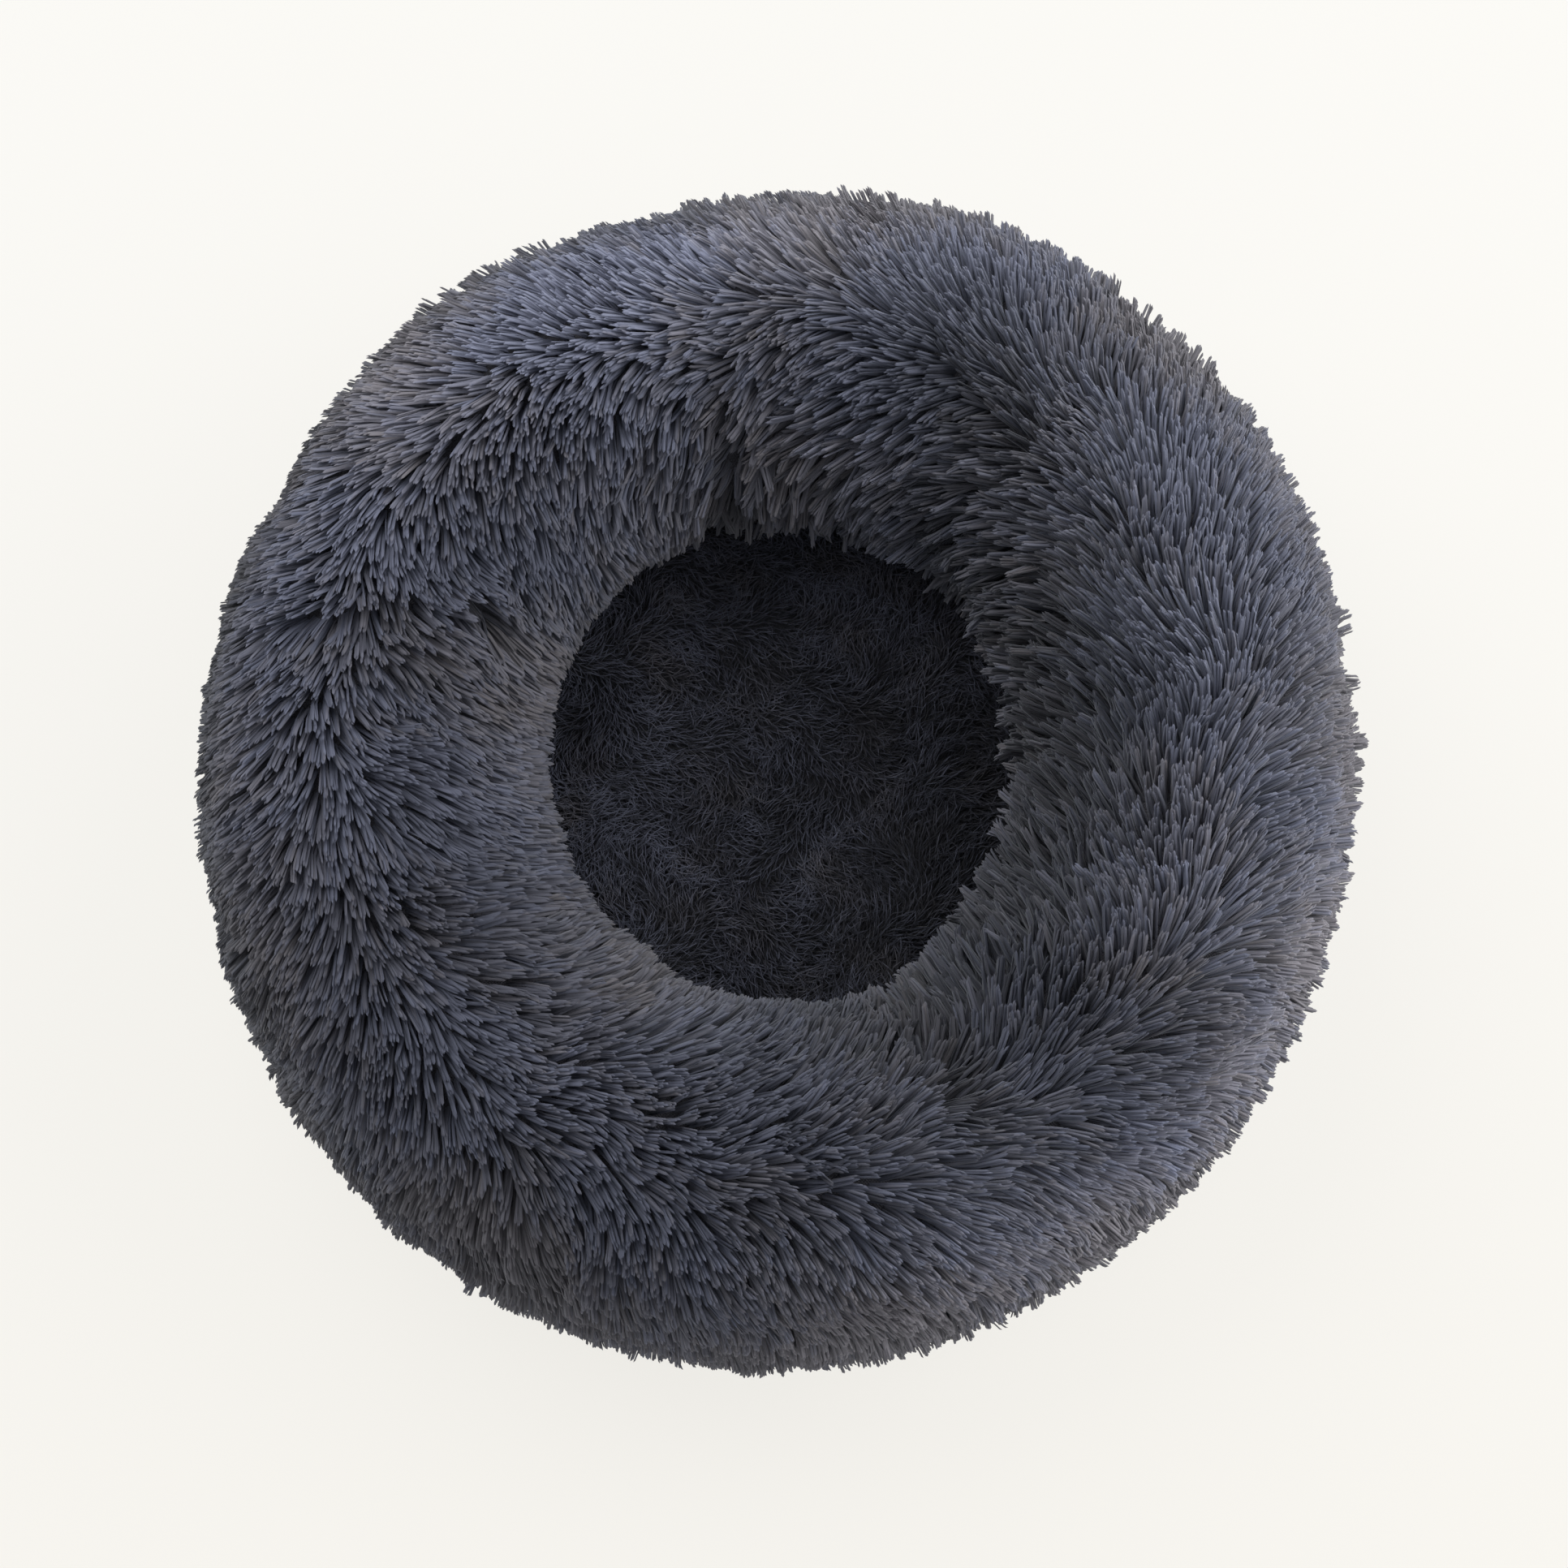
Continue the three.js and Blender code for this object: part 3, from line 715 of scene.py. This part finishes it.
def part_the_pile(place, along, normal):
    """The locks' headings turned aside at the partings, and how deep in a parting each lock is."""
    spots, shown = seen_at(place), faces_camera(normal)
    dip = np.zeros(len(place))
    for *ends, reach, lean, depth in PARTINGS:
        off, _ = off_line(spots, ends)
        near = np.exp(-((off / reach) ** 2).sum(1)) * shown
        aside = unit(off) * [1, -1]
        away = np.column_stack([aside[:, 0], aside[:, 1] * CAMERA_UP[1], aside[:, 1] * CAMERA_UP[2]])
        along = along + away * (near * lean)[:, None]
        dip = np.maximum(dip, np.exp(-((off / (reach * 0.6)) ** 2).sum(1)) * shown * depth)
    return along_skin(along, normal), dip


# Rows where locks lie over the next ones: a line's ends in pixels, its reach, and how much higher
# the locks on the line's right-hand side stand.
OVERLAPS = [
    (470, 735, 372, 762, 34, 0.35),
]


def heights_at_overlaps(place, normal):
    spots, shown = seen_at(place), faces_camera(normal)
    scale = np.ones(len(place))
    for *ends, reach, lift in OVERLAPS:
        off, run = off_line(spots, ends)
        side = (run[0] * off[:, 1] - run[1] * off[:, 0]) / np.linalg.norm(run)
        near = np.exp(-((off / reach) ** 2).sum(1)) * shown
        scale += lift * near * np.clip(side / 8, -1, 1)
    return scale


# Broad patches of painted light and shade on the pile: degrees round the bed and their reach,
# degrees round the tube and their reach, and how much paler the locks are painted.
PAINTED_LIGHT_AND_SHADE_PATCHES = [
    (128, 62, 74, 38, 0.37),
    (118, 30, 76, 18, 0.18),
    (112, 48, 158, 32, 0.3),
    (150, 30, 148, 12, 0.08),
    (95, 22, 58, 14, 0.14),
    (165, 45, 60, 13, 0.16),
    (150, 26, 100, 16, -0.12),
    (195, 45, 108, 22, -0.14),
    (178, 50, 8, 30, -0.36),
    (240, 30, 125, 26, -0.16),
    (305, 38, 112, 40, -0.3),
    (305, 100, 155, 42, -0.12),
    (310, 44, 33, 32, 0.62),
    (335, 36, 32, 30, 0.18),
    (340, 36, 92, 14, 0.22),
    (0, 40, 78, 18, 0.1),
    (2, 40, 138, 26, -0.42),
    (30, 30, 45, 26, 0.14),
    (60, 24, 84, 18, -0.2),
    (125, 50, 26, 22, -0.2),
    (100, 30, 66, 16, 0.12),
    (300, 30, 150, 14, -0.2),
    (300, 26, 86, 16, -0.1),
    (335, 26, 106, 14, 0.12),
    (270, 22, 106, 14, 0.08),
    (268, 24, 60, 12, 0.12),
    (50, 24, 150, 16, -0.12),
]


def hue_at(turn, climb, place):
    """Blue grey over the crest, warmer at the lip and the outer wall."""
    crest = np.interp(climb, [10, 45, 75, 110, 140, 170], [0.15, 0.3, 0.7, 0.75, 0.45, 0.35])
    return crest + 0.22 * Ripples(0.1, 38).at(place) + 0.1 * Ripples(0.03, 39).at(place)


def pile_colour(finish, u, v, depths):
    """Root to tip over v; u runs through the hues, and within each from dark strands to pale."""
    step = (u * HUES).whole()
    hue = step * (1 / (HUES - 1))
    tone = u * HUES - step
    tint = finish.blend(hue, (1.05, 0.998, 1.125), (0.91, 0.983, 1.38))
    depth = finish.ramp(v, [(place, (value, value, value)) for place, value in depths])
    shade = finish.node(
        "ShaderNodeMix", {"data_type": "RGBA", "blend_type": "MULTIPLY"}, {0: 1.0, 6: depth, 7: tint}, 2)
    return shade, tone


def shag_finish():
    finish = Finish("slate_shag")
    u, v, _ = finish.parts(finish.node("ShaderNodeUVMap", {"uv_map": "OFBake"}))
    depths = [(0, 0.056), (0.3, 0.063), (0.65, 0.065), (0.9, 0.073), (1, 0.068)]
    shade, tone = pile_colour(finish, u, v, depths)
    toned = finish.times(shade, tone * 2 + 0.18)
    return finish.done(
        toned, 0.95, Specular_IOR_Level=0.05, Sheen_Weight=0.15, Sheen_Roughness=0.6,
        Sheen_Tint=(0.75, 0.8, 0.9, 1),
    )


def on_pile_side(middles, normals):
    outer = ((middles - tube_middle(middles)) * normals).sum(1) > 0
    return outer & (middles[:, 2] > 4 * MM)


def root_weight(middles):
    """Fewer locks low on the inner wall and under the tube, where little of the pile shows."""
    _, climb = round_the_tube(middles)
    return np.where(climb > 200, 0.6, np.where(climb < -25, 0.75, 1.0))


def shag_locks(skin):
    """The locks of the long pile, with their degrees round the bed and round the tube."""
    place, normal, sunk = roots_on(skin, LOCK_SPACING, 21, on_pile_side, root_weight)
    dice = np.random.default_rng(22)
    count = len(place)
    turn, climb = round_the_tube(place)
    stray = Ripples(0.09, 31).at(place) * 9 + Ripples(0.03, 32).at(place) * 6 + dice.normal(0, 3.5, count)
    shaggy = smooth((climb - 90) / 40) * smooth(np.cos(np.radians(turn - 20)) * 1.2 + 0.6)
    shaggy += smooth((52 - climb) / 26) * (0.3 - 0.2 * np.cos(np.radians(turn - 130)))
    lie = np.radians(shag_lie(turn, climb) + stray + dice.normal(0, 11, count) * shaggy)
    round_bed = along_skin(unit(np.column_stack([-place[:, 1], place[:, 0], np.zeros(count)])), normal)
    out = unit(np.cross(round_bed, normal))
    along = round_bed * np.cos(lie)[:, None] + out * np.sin(lie)[:, None]
    edge = smooth(sunk / (8 * MM))
    length = (SHAG_LENGTH + 1.8 * Ripples(0.07, 33).at(place) + dice.normal(0, 1.2, count)) * MM
    length *= 0.45 + 0.55 * edge
    rise = sunk * (1.0 + 0.1 * Ripples(0.05, 34).at(place)) + dice.normal(0, 0.8, count) * MM
    rise = np.maximum(rise, 2 * MM)
    # Some locks stand higher and some lower; on the tone the higher ones are painted paler and the lower
    # ones darker, as painted light and shade.
    tousled = shaggy * dice.normal(0, 1, count)
    rise += 3.6 * MM * tousled
    length += 2 * MM * shaggy * dice.normal(0, 1, count)
    brow = hump(climb, 156, 26) * np.cos(np.radians(turn)) ** 2
    rise += 7 * MM * brow
    length += 7 * MM * brow
    along, dip = part_the_pile(place, along, normal)
    rise *= (1 - 0.55 * dip) * heights_at_overlaps(place, normal)
    length *= 1 - 0.25 * dip
    lifted = smooth((80 - climb) / 50) * smooth(np.cos(np.radians(turn - 45)) * 1.2 + 0.5)
    lifted *= dice.uniform(0, 1, count) < 0.16
    rise = np.minimum(rise * (1 + 0.5 * lifted), length * 0.8)
    curl = 0.16 * Ripples(0.05, 35).at(place) + dice.normal(0, 0.09, count)
    # Locks deep in a parting are painted darker: painted shade in the parting.
    tone = 0.4 + 0.04 * Ripples(0.12, 36).at(place) + 0.025 * Ripples(0.02, 37).at(place) - 0.42 * dip
    # Painted light and shade: the broad patches, and the higher tousled locks painted paler, the lower ones
    # darker.
    tone += over_areas(PAINTED_LIGHT_AND_SHADE_PATCHES, turn, climb) + 0.13 * tousled + 0.04 * shaggy
    tone = np.clip(tone + dice.normal(0, 0.045, count), 0.02, 0.98)
    hug = (np.sin(lie) ** 2 / 0.085 + np.cos(lie) ** 2 / 0.4) * (1 - 0.5 * lifted)
    hue = hue_at(turn, climb, place) + dice.normal(0, 0.08, count)
    solid = 0.66 + 0.26 * np.cos(np.radians(turn - 5))
    drawn = 0.92 - 0.5 * shaggy
    locks = Locks(place, normal, along, length, rise, curl, tone, hug, hue, solid, drawn)
    return locks, turn, climb


def off_the_floor(points):
    """Strands kept above the floor, and on the inner wall above the nest's edge."""
    points[:, :, 2] = np.maximum(points[:, :, 2], PILE_CLEARANCE)
    inside = np.hypot(points[:, :, 0], points[:, :, 1]) < NEST_SEAM_RADIUS + 20 * MM
    floor = NEST_FLOOR_HEIGHT - 6 * MM
    points[:, :, 2] = np.where(inside & (points[:, :, 2] < floor), floor, points[:, :, 2])
    return points


def shag(skin):
    """The long pile in sectors round the ring."""
    form, faces = strand_form((0.9, 1.0, 0.88), (0.4, 0.92))
    locks, turn, climb = shag_locks(skin)
    material = shag_finish()
    strands = np.where((climb > 205) | (climb < -30), 3, np.where((climb > 190) | (climb < 5), 4, 5))
    sector = (turn // (360 / SHAG_SECTORS)).astype(int) % SHAG_SECTORS
    for k in range(SHAG_SECTORS):
        mine = sector == k
        made = grow(
            locks.some(mine), strands[mine], form, faces, 40 + k, LOCK_WIDTH, LOCK_CROWN, STRAND_WIDTH,
            off_the_floor,
        )
        pile_piece(f"shag_{k + 1:02d}", *made, material, "long_pile")


def plush_finish():
    finish = Finish("dark_plush")
    u, v, _ = finish.parts(finish.node("ShaderNodeUVMap", {"uv_map": "OFBake"}))
    shade, tone = pile_colour(finish, u, v, [(0, 0.012), (0.5, 0.026), (1, 0.062)])
    toned = finish.times(shade, tone * 1.5 + 0.3)
    return finish.done(toned, 0.9, Specular_IOR_Level=0.12, Sheen_Weight=0.1, Sheen_Roughness=0.5)


def plush(skin):
    """The short fluff on the nest floor."""
    form, faces = strand_form((0.8, 0.9), (0.5,))

    def keep(middles, normals):
        out = np.hypot(middles[:, 0], middles[:, 1])
        return (normals[:, 2] > 0.3) & (out < PLUSH_EDGE)

    place, normal, _ = roots_on(skin, TUFT_SPACING, 51, keep, lambda middles: np.ones(len(middles)))
    dice = np.random.default_rng(52)
    count = len(place)
    heading = Ripples(0.09, 53).at(place) * 1.6 + Ripples(0.03, 54).at(place) * 0.6
    heading += dice.normal(0, 0.4, count)
    along = along_skin(np.column_stack([np.cos(heading), np.sin(heading), np.zeros(count)]), normal)
    clump = Ripples(0.022, 57).at(place)
    length = (12 + clump + dice.normal(0, 1.6, count)) * MM
    rise = np.clip(4.6 + 1.2 * clump + dice.normal(0, 1.0, count), 1.5, 8) * MM
    left = smooth((-place[:, 0] - 0.03) / 0.07)
    right = smooth((place[:, 0] - 0.01) / 0.08) * smooth((0.07 - place[:, 1]) / 0.05)
    far = smooth((place[:, 1] - 0.045) / 0.05)
    # The nest is painted paler on the left and far side and darker on the right: painted light and shade.
    # Its hue is also bluer on the left.
    tone = 0.425 + 0.12 * Ripples(0.08, 55).at(place) + (0.14 + 0.2 * left) * clump
    tone += 0.56 * left - 0.22 * right + 0.26 * far
    tone = np.clip(tone + dice.normal(0, 0.26, count), 0.02, 0.98)
    hue = 0.8 + 0.5 * left * (Ripples(0.05, 58).at(place) + 0.3) + 0.2 * Ripples(0.03, 59).at(place)
    nothing = np.zeros(count)
    curl = dice.normal(0, 0.3, count)
    locks = Locks(place, normal, along, length, rise, curl, tone, nothing, hue, nothing + 0.8, nothing + 1)
    ones = np.ones(count, int)
    made = grow(locks, ones, form, faces, 56, 0.3 * MM, 0.1 * MM, TUFT_WIDTH, lambda points: points)
    pile_piece("nest_plush", *made, plush_finish(), "short_pile")


# The two bags of filling inside


def weave(finish, x, y, pitch):
    """Height of a plain weave with threads `pitch` apart, from 0 to 1."""
    along, across = (x * (math.pi / pitch)).sine(), (y * (math.pi / pitch)).sine()
    over = (along * across).over(0)
    return over * along.size() + (1 - over) * across.size()


def bag_cloth():
    finish = Finish("woven_bag_cloth")
    x, y, z = finish.parts(finish.places())
    threads = weave(finish, x + z * 0.7, y + z * 0.7, 0.0011)
    slubs = finish.noise(finish.places(), 140.0, 3.0)
    colour = finish.blend(slubs, (0.60, 0.585, 0.55), (0.74, 0.73, 0.70))
    woven = finish.times(colour, threads * 0.2 + 0.86)
    relief = finish.bump(threads + slubs * 0.4, 0.0003)
    return finish.done(woven, 0.9, relief, Specular_IOR_Level=0.25, Sheen_Weight=0.15)


def wadding():
    finish = Finish("fibre_wadding")
    strands = finish.noise(finish.places(), 320.0, 5.0, 0.7)
    tufts = finish.noise(finish.places(), 45.0, 3.0)
    colour = finish.blend(tufts, (0.76, 0.755, 0.74), (0.88, 0.88, 0.865))
    depth = strands * 0.4 + tufts
    return finish.done(colour, 1.0, finish.bump(depth, 0.003), Specular_IOR_Level=0.1, Sheen_Weight=0.3)


def stuffed(node, name, material, puff):
    """A soft inside piece with the CAD node's form: finer, and puckered where the filling is uneven."""
    piece = fresh_copy(node, name)
    apply_modifier(piece, "SUBSURF", levels=1, render_levels=1, subdivision_type="SIMPLE")
    mesh = piece.data
    points = points_of(mesh)
    out = np.hypot(points[:, 0], points[:, 1])
    in_ring = name.startswith("ring")
    heart = tube_middle(points) if in_ring else points * (0.9, 0.9, 0) + (0, 0, CUSHION_MIDDLE)
    uneven = Ripples(0.06, 61).at(points) + 0.6 * Ripples(0.025, 62).at(points)
    inward = np.clip(0.5 + 0.35 * uneven, 0, 1) * puff
    free = smooth((points[:, 2] - 9 * MM) / (12 * MM))
    foot_corner = smooth((out - BAG_FOOT_RADIUS) / (4 * MM)) * smooth((9 * MM - points[:, 2]) / (4 * MM))
    inward = inward * free + 5 * MM * foot_corner
    move_points(mesh, points - unit(points - heart) * inward[:, None])
    bpy.ops.object.shade_smooth()
    mesh.materials.append(material)
    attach(piece, "bed")
    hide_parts(node)


# The base cloth with its grip dots and stitches


def cloth_rise(x, y):
    """Height of the cloth's underside: level, sloping up to the slot that shows the zip."""
    along = np.maximum(np.abs(x) - SLOT_HALF, 0) / SEAM_RUN
    across = np.maximum(np.abs(y) - SLOT_HALF_WIDTH, 0) / RAMP_RUN
    return GRIP_HEIGHT + RAMP_LIFT * (1 - smooth(np.hypot(along, across)))


def base_fabric():
    finish = Finish("base_fabric")
    x, y, _ = finish.parts(finish.places())
    threads = weave(finish, x, y, 0.0013)
    worn = finish.noise(finish.places(), 22.0, 4.0, 0.6)
    colour = finish.blend(worn, (0.024, 0.025, 0.028), (0.040, 0.041, 0.046))
    woven = finish.times(colour, threads * 0.5 + 0.65)
    relief = finish.bump(threads, 0.00025)
    return finish.done(woven, worn * 0.15 + 0.7, relief, Specular_IOR_Level=0.3, Sheen_Weight=0.1)


def base_cloth(side, name, node, fabric):
    """Half a round of cloth, laid as a grid between the slot and the ring's seam."""
    columns, rows = 180, 44
    deselect()
    bpy.ops.mesh.primitive_grid_add(x_subdivisions=columns, y_subdivisions=rows, size=1)
    cloth = bpy.context.object
    cloth.name = name
    mesh = cloth.data
    grid = points_of(mesh)
    first = math.asin(8 * MM / BASE_RADIUS)
    even = -BASE_RADIUS * np.cos(first + (math.pi - 2 * first) * np.arange(columns - 3) / (columns - 4))
    slot_ends = np.array([-SLOT_HALF - 0.8 * MM, -SLOT_HALF, SLOT_HALF, SLOT_HALF + 0.8 * MM])
    stations = np.sort(np.concatenate([even, slot_ends]))
    column = np.rint((grid[:, 0] + 0.5) * columns).astype(int)
    share = (grid[:, 1] + 0.5) ** 1.15
    x = stations[column]
    rim = np.sqrt(BASE_RADIUS**2 - x**2)
    edge = np.where(np.abs(x) <= SLOT_HALF, SLOT_HALF_WIDTH, 0.02 * MM)
    y = edge + (rim - edge) * share
    pucker = Ripples(0.016, 71).at(np.column_stack([x, y, y * 0])) * smooth((y + np.abs(x) - 0.22) / 0.05)
    z = cloth_rise(x, y) + np.maximum(pucker, 0) * 0.15 * MM
    move_points(mesh, np.column_stack([x, y * side, z]))
    if side < 0:
        mesh.flip_normals()
    apply_modifier(cloth, "SOLIDIFY", thickness=1 * MM, offset=1)
    bpy.ops.object.shade_smooth_by_angle(angle=math.radians(40))
    mesh.materials.append(fabric)
    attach(cloth, "bed")
    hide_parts(node)
    return cloth


def rubber():
    finish = Finish("grip_rubber")
    grain = finish.noise(finish.places(), 900.0)
    dusty = finish.noise(finish.places(), 35.0, 3.0)
    colour = finish.blend(dusty, (0.030, 0.030, 0.032), (0.055, 0.055, 0.056))
    return finish.done(colour, dusty * 0.2 + 0.45, finish.bump(grain, 0.00008), Specular_IOR_Level=0.4)


def dot_form(sides):
    """One printed dot as modelled: a low dome, its rounded side down."""
    deselect()
    bpy.ops.mesh.primitive_cylinder_add(vertices=sides, radius=0.5, depth=1, location=(0, 0, 0.5))
    dot = bpy.context.object
    mode("EDIT")
    bpy.ops.mesh.select_all(action="DESELECT")
    mode("OBJECT")
    for face in dot.data.polygons:
        face.select = face.normal.z < -0.9
    mode("EDIT")
    bpy.ops.mesh.select_mode(type="FACE")
    bpy.ops.mesh.bevel(offset=0.16, segments=2, affect="EDGES")
    pick_all()
    bpy.ops.mesh.quads_convert_to_tris()
    mode("OBJECT")
    return as_form(dot)


def stitch_form():
    """One stitch as modelled: a short six-sided thread, its ends drawn into the cloth."""
    deselect()
    bpy.ops.mesh.primitive_cylinder_add(vertices=6, radius=0.5, depth=1, rotation=(0, math.pi / 2, 0))
    thread = bpy.context.object
    mode("EDIT")
    for place in (-0.3, 0, 0.3):
        pick_all()
        bpy.ops.mesh.bisect(plane_co=(place, 0, 0), plane_no=(1, 0, 0))
    pick_all()
    bpy.ops.mesh.quads_convert_to_tris()
    mode("OBJECT")
    form, faces = as_form(thread)
    bulge = np.interp(np.abs(form[:, 0]), [0, 0.3, 0.5], [1, 0.9, 0.45])
    form[:, 1:] *= bulge[:, None]
    form[:, 2] += np.interp(np.abs(form[:, 0]), [0, 0.3, 0.5], [-0.1, 0.05, 0.5])
    return form, faces


def copies(name, form, faces, places, size, material, slot, turns=0):
    """One mesh of many copies of a form, each at its place and turn about Z."""
    sized = np.tile(form * size, (len(places), 1, 1))
    turns = np.broadcast_to(turns, len(places))[:, None]
    cos, sin = np.cos(turns), np.sin(turns)
    x, y = sized[:, :, 0] * cos - sized[:, :, 1] * sin, sized[:, :, 0] * sin + sized[:, :, 1] * cos
    points = (np.stack([x, y, sized[:, :, 2]], axis=2) + places[:, None]).reshape(-1, 3)
    index = (faces[None] + (np.arange(len(places)) * len(form))[:, None, None]).reshape(-1, 3)
    mesh = bpy.data.meshes.new(name)
    mesh.from_pydata(points.tolist(), [], index.tolist())
    piece = bpy.data.objects.new(name, mesh)
    bpy.context.scene.collection.objects.link(piece)
    only(piece)
    bpy.ops.object.shade_smooth_by_angle(angle=math.radians(50))
    mesh.materials.append(material)
    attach(piece, "bed")
    return piece


def grip_places():
    """Where the large dots sit, on both halves of the cloth."""
    places = []
    row_pitch = GRIP_PITCH * math.sin(math.pi / 3)
    row = 0
    while GRIP_KEEP_OUT + row * row_pitch < BASE_RADIUS - 8 * MM:
        y = GRIP_KEEP_OUT + row * row_pitch
        reach = math.sqrt((BASE_RADIUS - 8 * MM) ** 2 - y**2)
        for column in range(-6, 7):
            x = column * GRIP_PITCH + (GRIP_PITCH / 2 if row % 2 else 0)
            if abs(x) <= reach:
                places += [(x, y), (x, -y)]
        row += 1
    return np.array(places)


def small_dot_places(large):
    """A finer hex grid of small dots between the large ones, clear of the slope and the seams."""
    pitch = GRIP_PITCH / 4
    row_pitch = pitch * math.sin(math.pi / 3)
    places = []
    for row in range(60):
        y = GRIP_KEEP_OUT + (row - 1) * row_pitch
        for column in range(-24, 25):
            x = column * pitch + (pitch / 2 if row % 2 == 0 else 0)
            if math.hypot(x, y) < BASE_RADIUS - 9 * MM:
                places += [(x, y), (x, -y)]
    places = np.array(places)
    gap = np.linalg.norm(places[:, None] - large[None], axis=2).min(1)
    return places[gap > 6.5 * MM]


def grip_dots():
    black = rubber()
    large = grip_places()
    places = np.column_stack([large, np.full(len(large), 0.03 * MM)])
    size = [LARGE_DOT, LARGE_DOT, GRIP_HEIGHT + 0.3 * MM]
    dots = copies("grip_dots", *dot_form(16), places, size, black, "base_cloth")
    small = small_dot_places(large)
    places = np.column_stack([small, cloth_rise(small[:, 0], small[:, 1]) - 0.4 * MM])
    size = [SMALL_DOT, SMALL_DOT, 0.6 * MM]
    fine = copies("small_grip_dots", *dot_form(8), places, size, black, "base_cloth")
    return [dots, fine]


def stitched_line(corners):
    """Middles and headings of stitches along straight runs between corners."""
    middles, headings = [], []
    for (x0, y0), (x1, y1) in zip(corners, corners[1:]):
        run = math.hypot(x1 - x0, y1 - y0)
        count = max(1, round(run / STITCH_PITCH))
        for k in range(count):
            share = (k + 0.5) / count
            middles.append((x0 + (x1 - x0) * share, y0 + (y1 - y0) * share))
            headings.append(math.atan2(y1 - y0, x1 - x0))
    return middles, headings


def thread():
    finish = Finish("dark_thread")
    twist = finish.noise(finish.places(), 2600.0)
    colour = finish.blend(twist, (0.05, 0.051, 0.056), (0.10, 0.102, 0.11))
    return finish.done(colour, 0.6, finish.bump(twist, 0.0001), Specular_IOR_Level=0.4)


def base_stitching():
    """Topstitching round the slot, beside the middle seam and along the ring's seam."""
    slot_x, slot_y = SLOT_HALF + 2.5 * MM, SLOT_HALF_WIDTH + 2.5 * MM
    box = [(-slot_x, -slot_y), (slot_x, -slot_y), (slot_x, slot_y), (-slot_x, slot_y), (-slot_x, -slot_y)]
    middles, headings = stitched_line(box)
    for x in (-1, 1):
        for y in (-3 * MM, 3 * MM):
            more = stitched_line([(x * (slot_x + 3 * MM), y), (x * (BASE_RADIUS - 5 * MM), y)])
            middles += more[0]
            headings += more[1]
    radius = BASE_RADIUS - 3.2 * MM
    round_count = round(2 * math.pi * radius / STITCH_PITCH)
    for k in range(round_count):
        turn = 2 * math.pi * (k + 0.5) / round_count
        middles.append((radius * math.cos(turn), radius * math.sin(turn)))
        headings.append(turn + math.pi / 2)
    middles = np.array(middles)
    places = np.column_stack([middles, cloth_rise(middles[:, 0], middles[:, 1]) - 0.12 * MM])
    return copies("base_stitching", *stitch_form(), places, STITCH_SIZE, thread(), "base_cloth", headings)


def base():
    fabric = base_fabric()
    left = base_cloth(1, "base_cloth_left", "base_panel_left", fabric)
    right = base_cloth(-1, "base_cloth_right", "base_panel_right", fabric)
    dots = grip_dots()
    seams = base_stitching()


# The zip's own finishes, on the CAD's pieces


def zip_plastic():
    """Moulded teeth over a woven tape."""
    finish = Finish("zip_tape_and_teeth")
    x, y, z = finish.parts(finish.places())
    tooth = (4.25 * MM - y.size()).over(0).most((z - 7.5 * MM).size().over(0.35 * MM))
    rib = (y * (math.pi / (0.9 * MM))).sine().size()
    twill = weave(finish, x, y, 0.0008) * 0.6 + rib * 0.4
    fuzz = finish.noise(finish.places(), 420.0, 3.0)
    tape = finish.times(finish.blend(fuzz, (0.017, 0.018, 0.021), (0.033, 0.034, 0.039)), twill * 0.5 + 0.7)
    moulded = finish.blend(fuzz, (0.014, 0.0145, 0.016), (0.022, 0.0225, 0.025))
    colour = finish.blend(tooth, tape, moulded)
    roughness = 0.85 - tooth * 0.5 + fuzz * 0.08
    height = twill * (1 - tooth) + fuzz * 0.15
    return finish.done(colour, roughness, finish.bump(height, 0.00018), Specular_IOR_Level=0.45)


def dark_nickel():
    """Plated metal, brushed along the zip, paler where it rubs."""
    finish = Finish("dark_nickel")
    x, y, z = finish.parts(finish.places())
    lines = finish.node("ShaderNodeCombineXYZ", None, {0: x * 40.0, 1: y * 2600.0, 2: z * 2600.0})
    brushed = finish.noise(lines, 1.0, 3.0, 0.6)
    rubbed = finish.noise(finish.places(), 520.0, 3.0)
    colour = finish.blend(rubbed, (0.20, 0.205, 0.22), (0.40, 0.405, 0.42))
    roughness = brushed * 0.2 + rubbed * 0.12 + 0.2
    return finish.done(colour, roughness, finish.bump(brushed, 0.00003), Metallic=1.0)


def zip_finishes():
    plastic, metal = zip_plastic(), dark_nickel()
    finishes = {
        "zip_side_left": plastic,
        "zip_side_right": plastic,
        "zip_top_stop_left": metal,
        "zip_top_stop_right": metal,
        "zip_bottom_stop": metal,
        "zip_slider": metal,
        "zip_pull_tab": metal,
    }
    for node, material in finishes.items():
        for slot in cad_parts[node].material_slots:
            slot.material = material


pale_floor()
light()
camera()
plush(nest_backing())
shag(ring_backing())
cotton, fibre = bag_cloth(), wadding()
stuffed("bolster_liner", "ring_bag", cotton, 1.4 * MM)
stuffed("bolster_fill", "ring_wadding", fibre, 1.4 * MM)
stuffed("cushion_liner", "cushion_bag", cotton, 1.0 * MM)
stuffed("cushion_fill", "cushion_wadding", fibre, 1.0 * MM)
base()
zip_finishes()
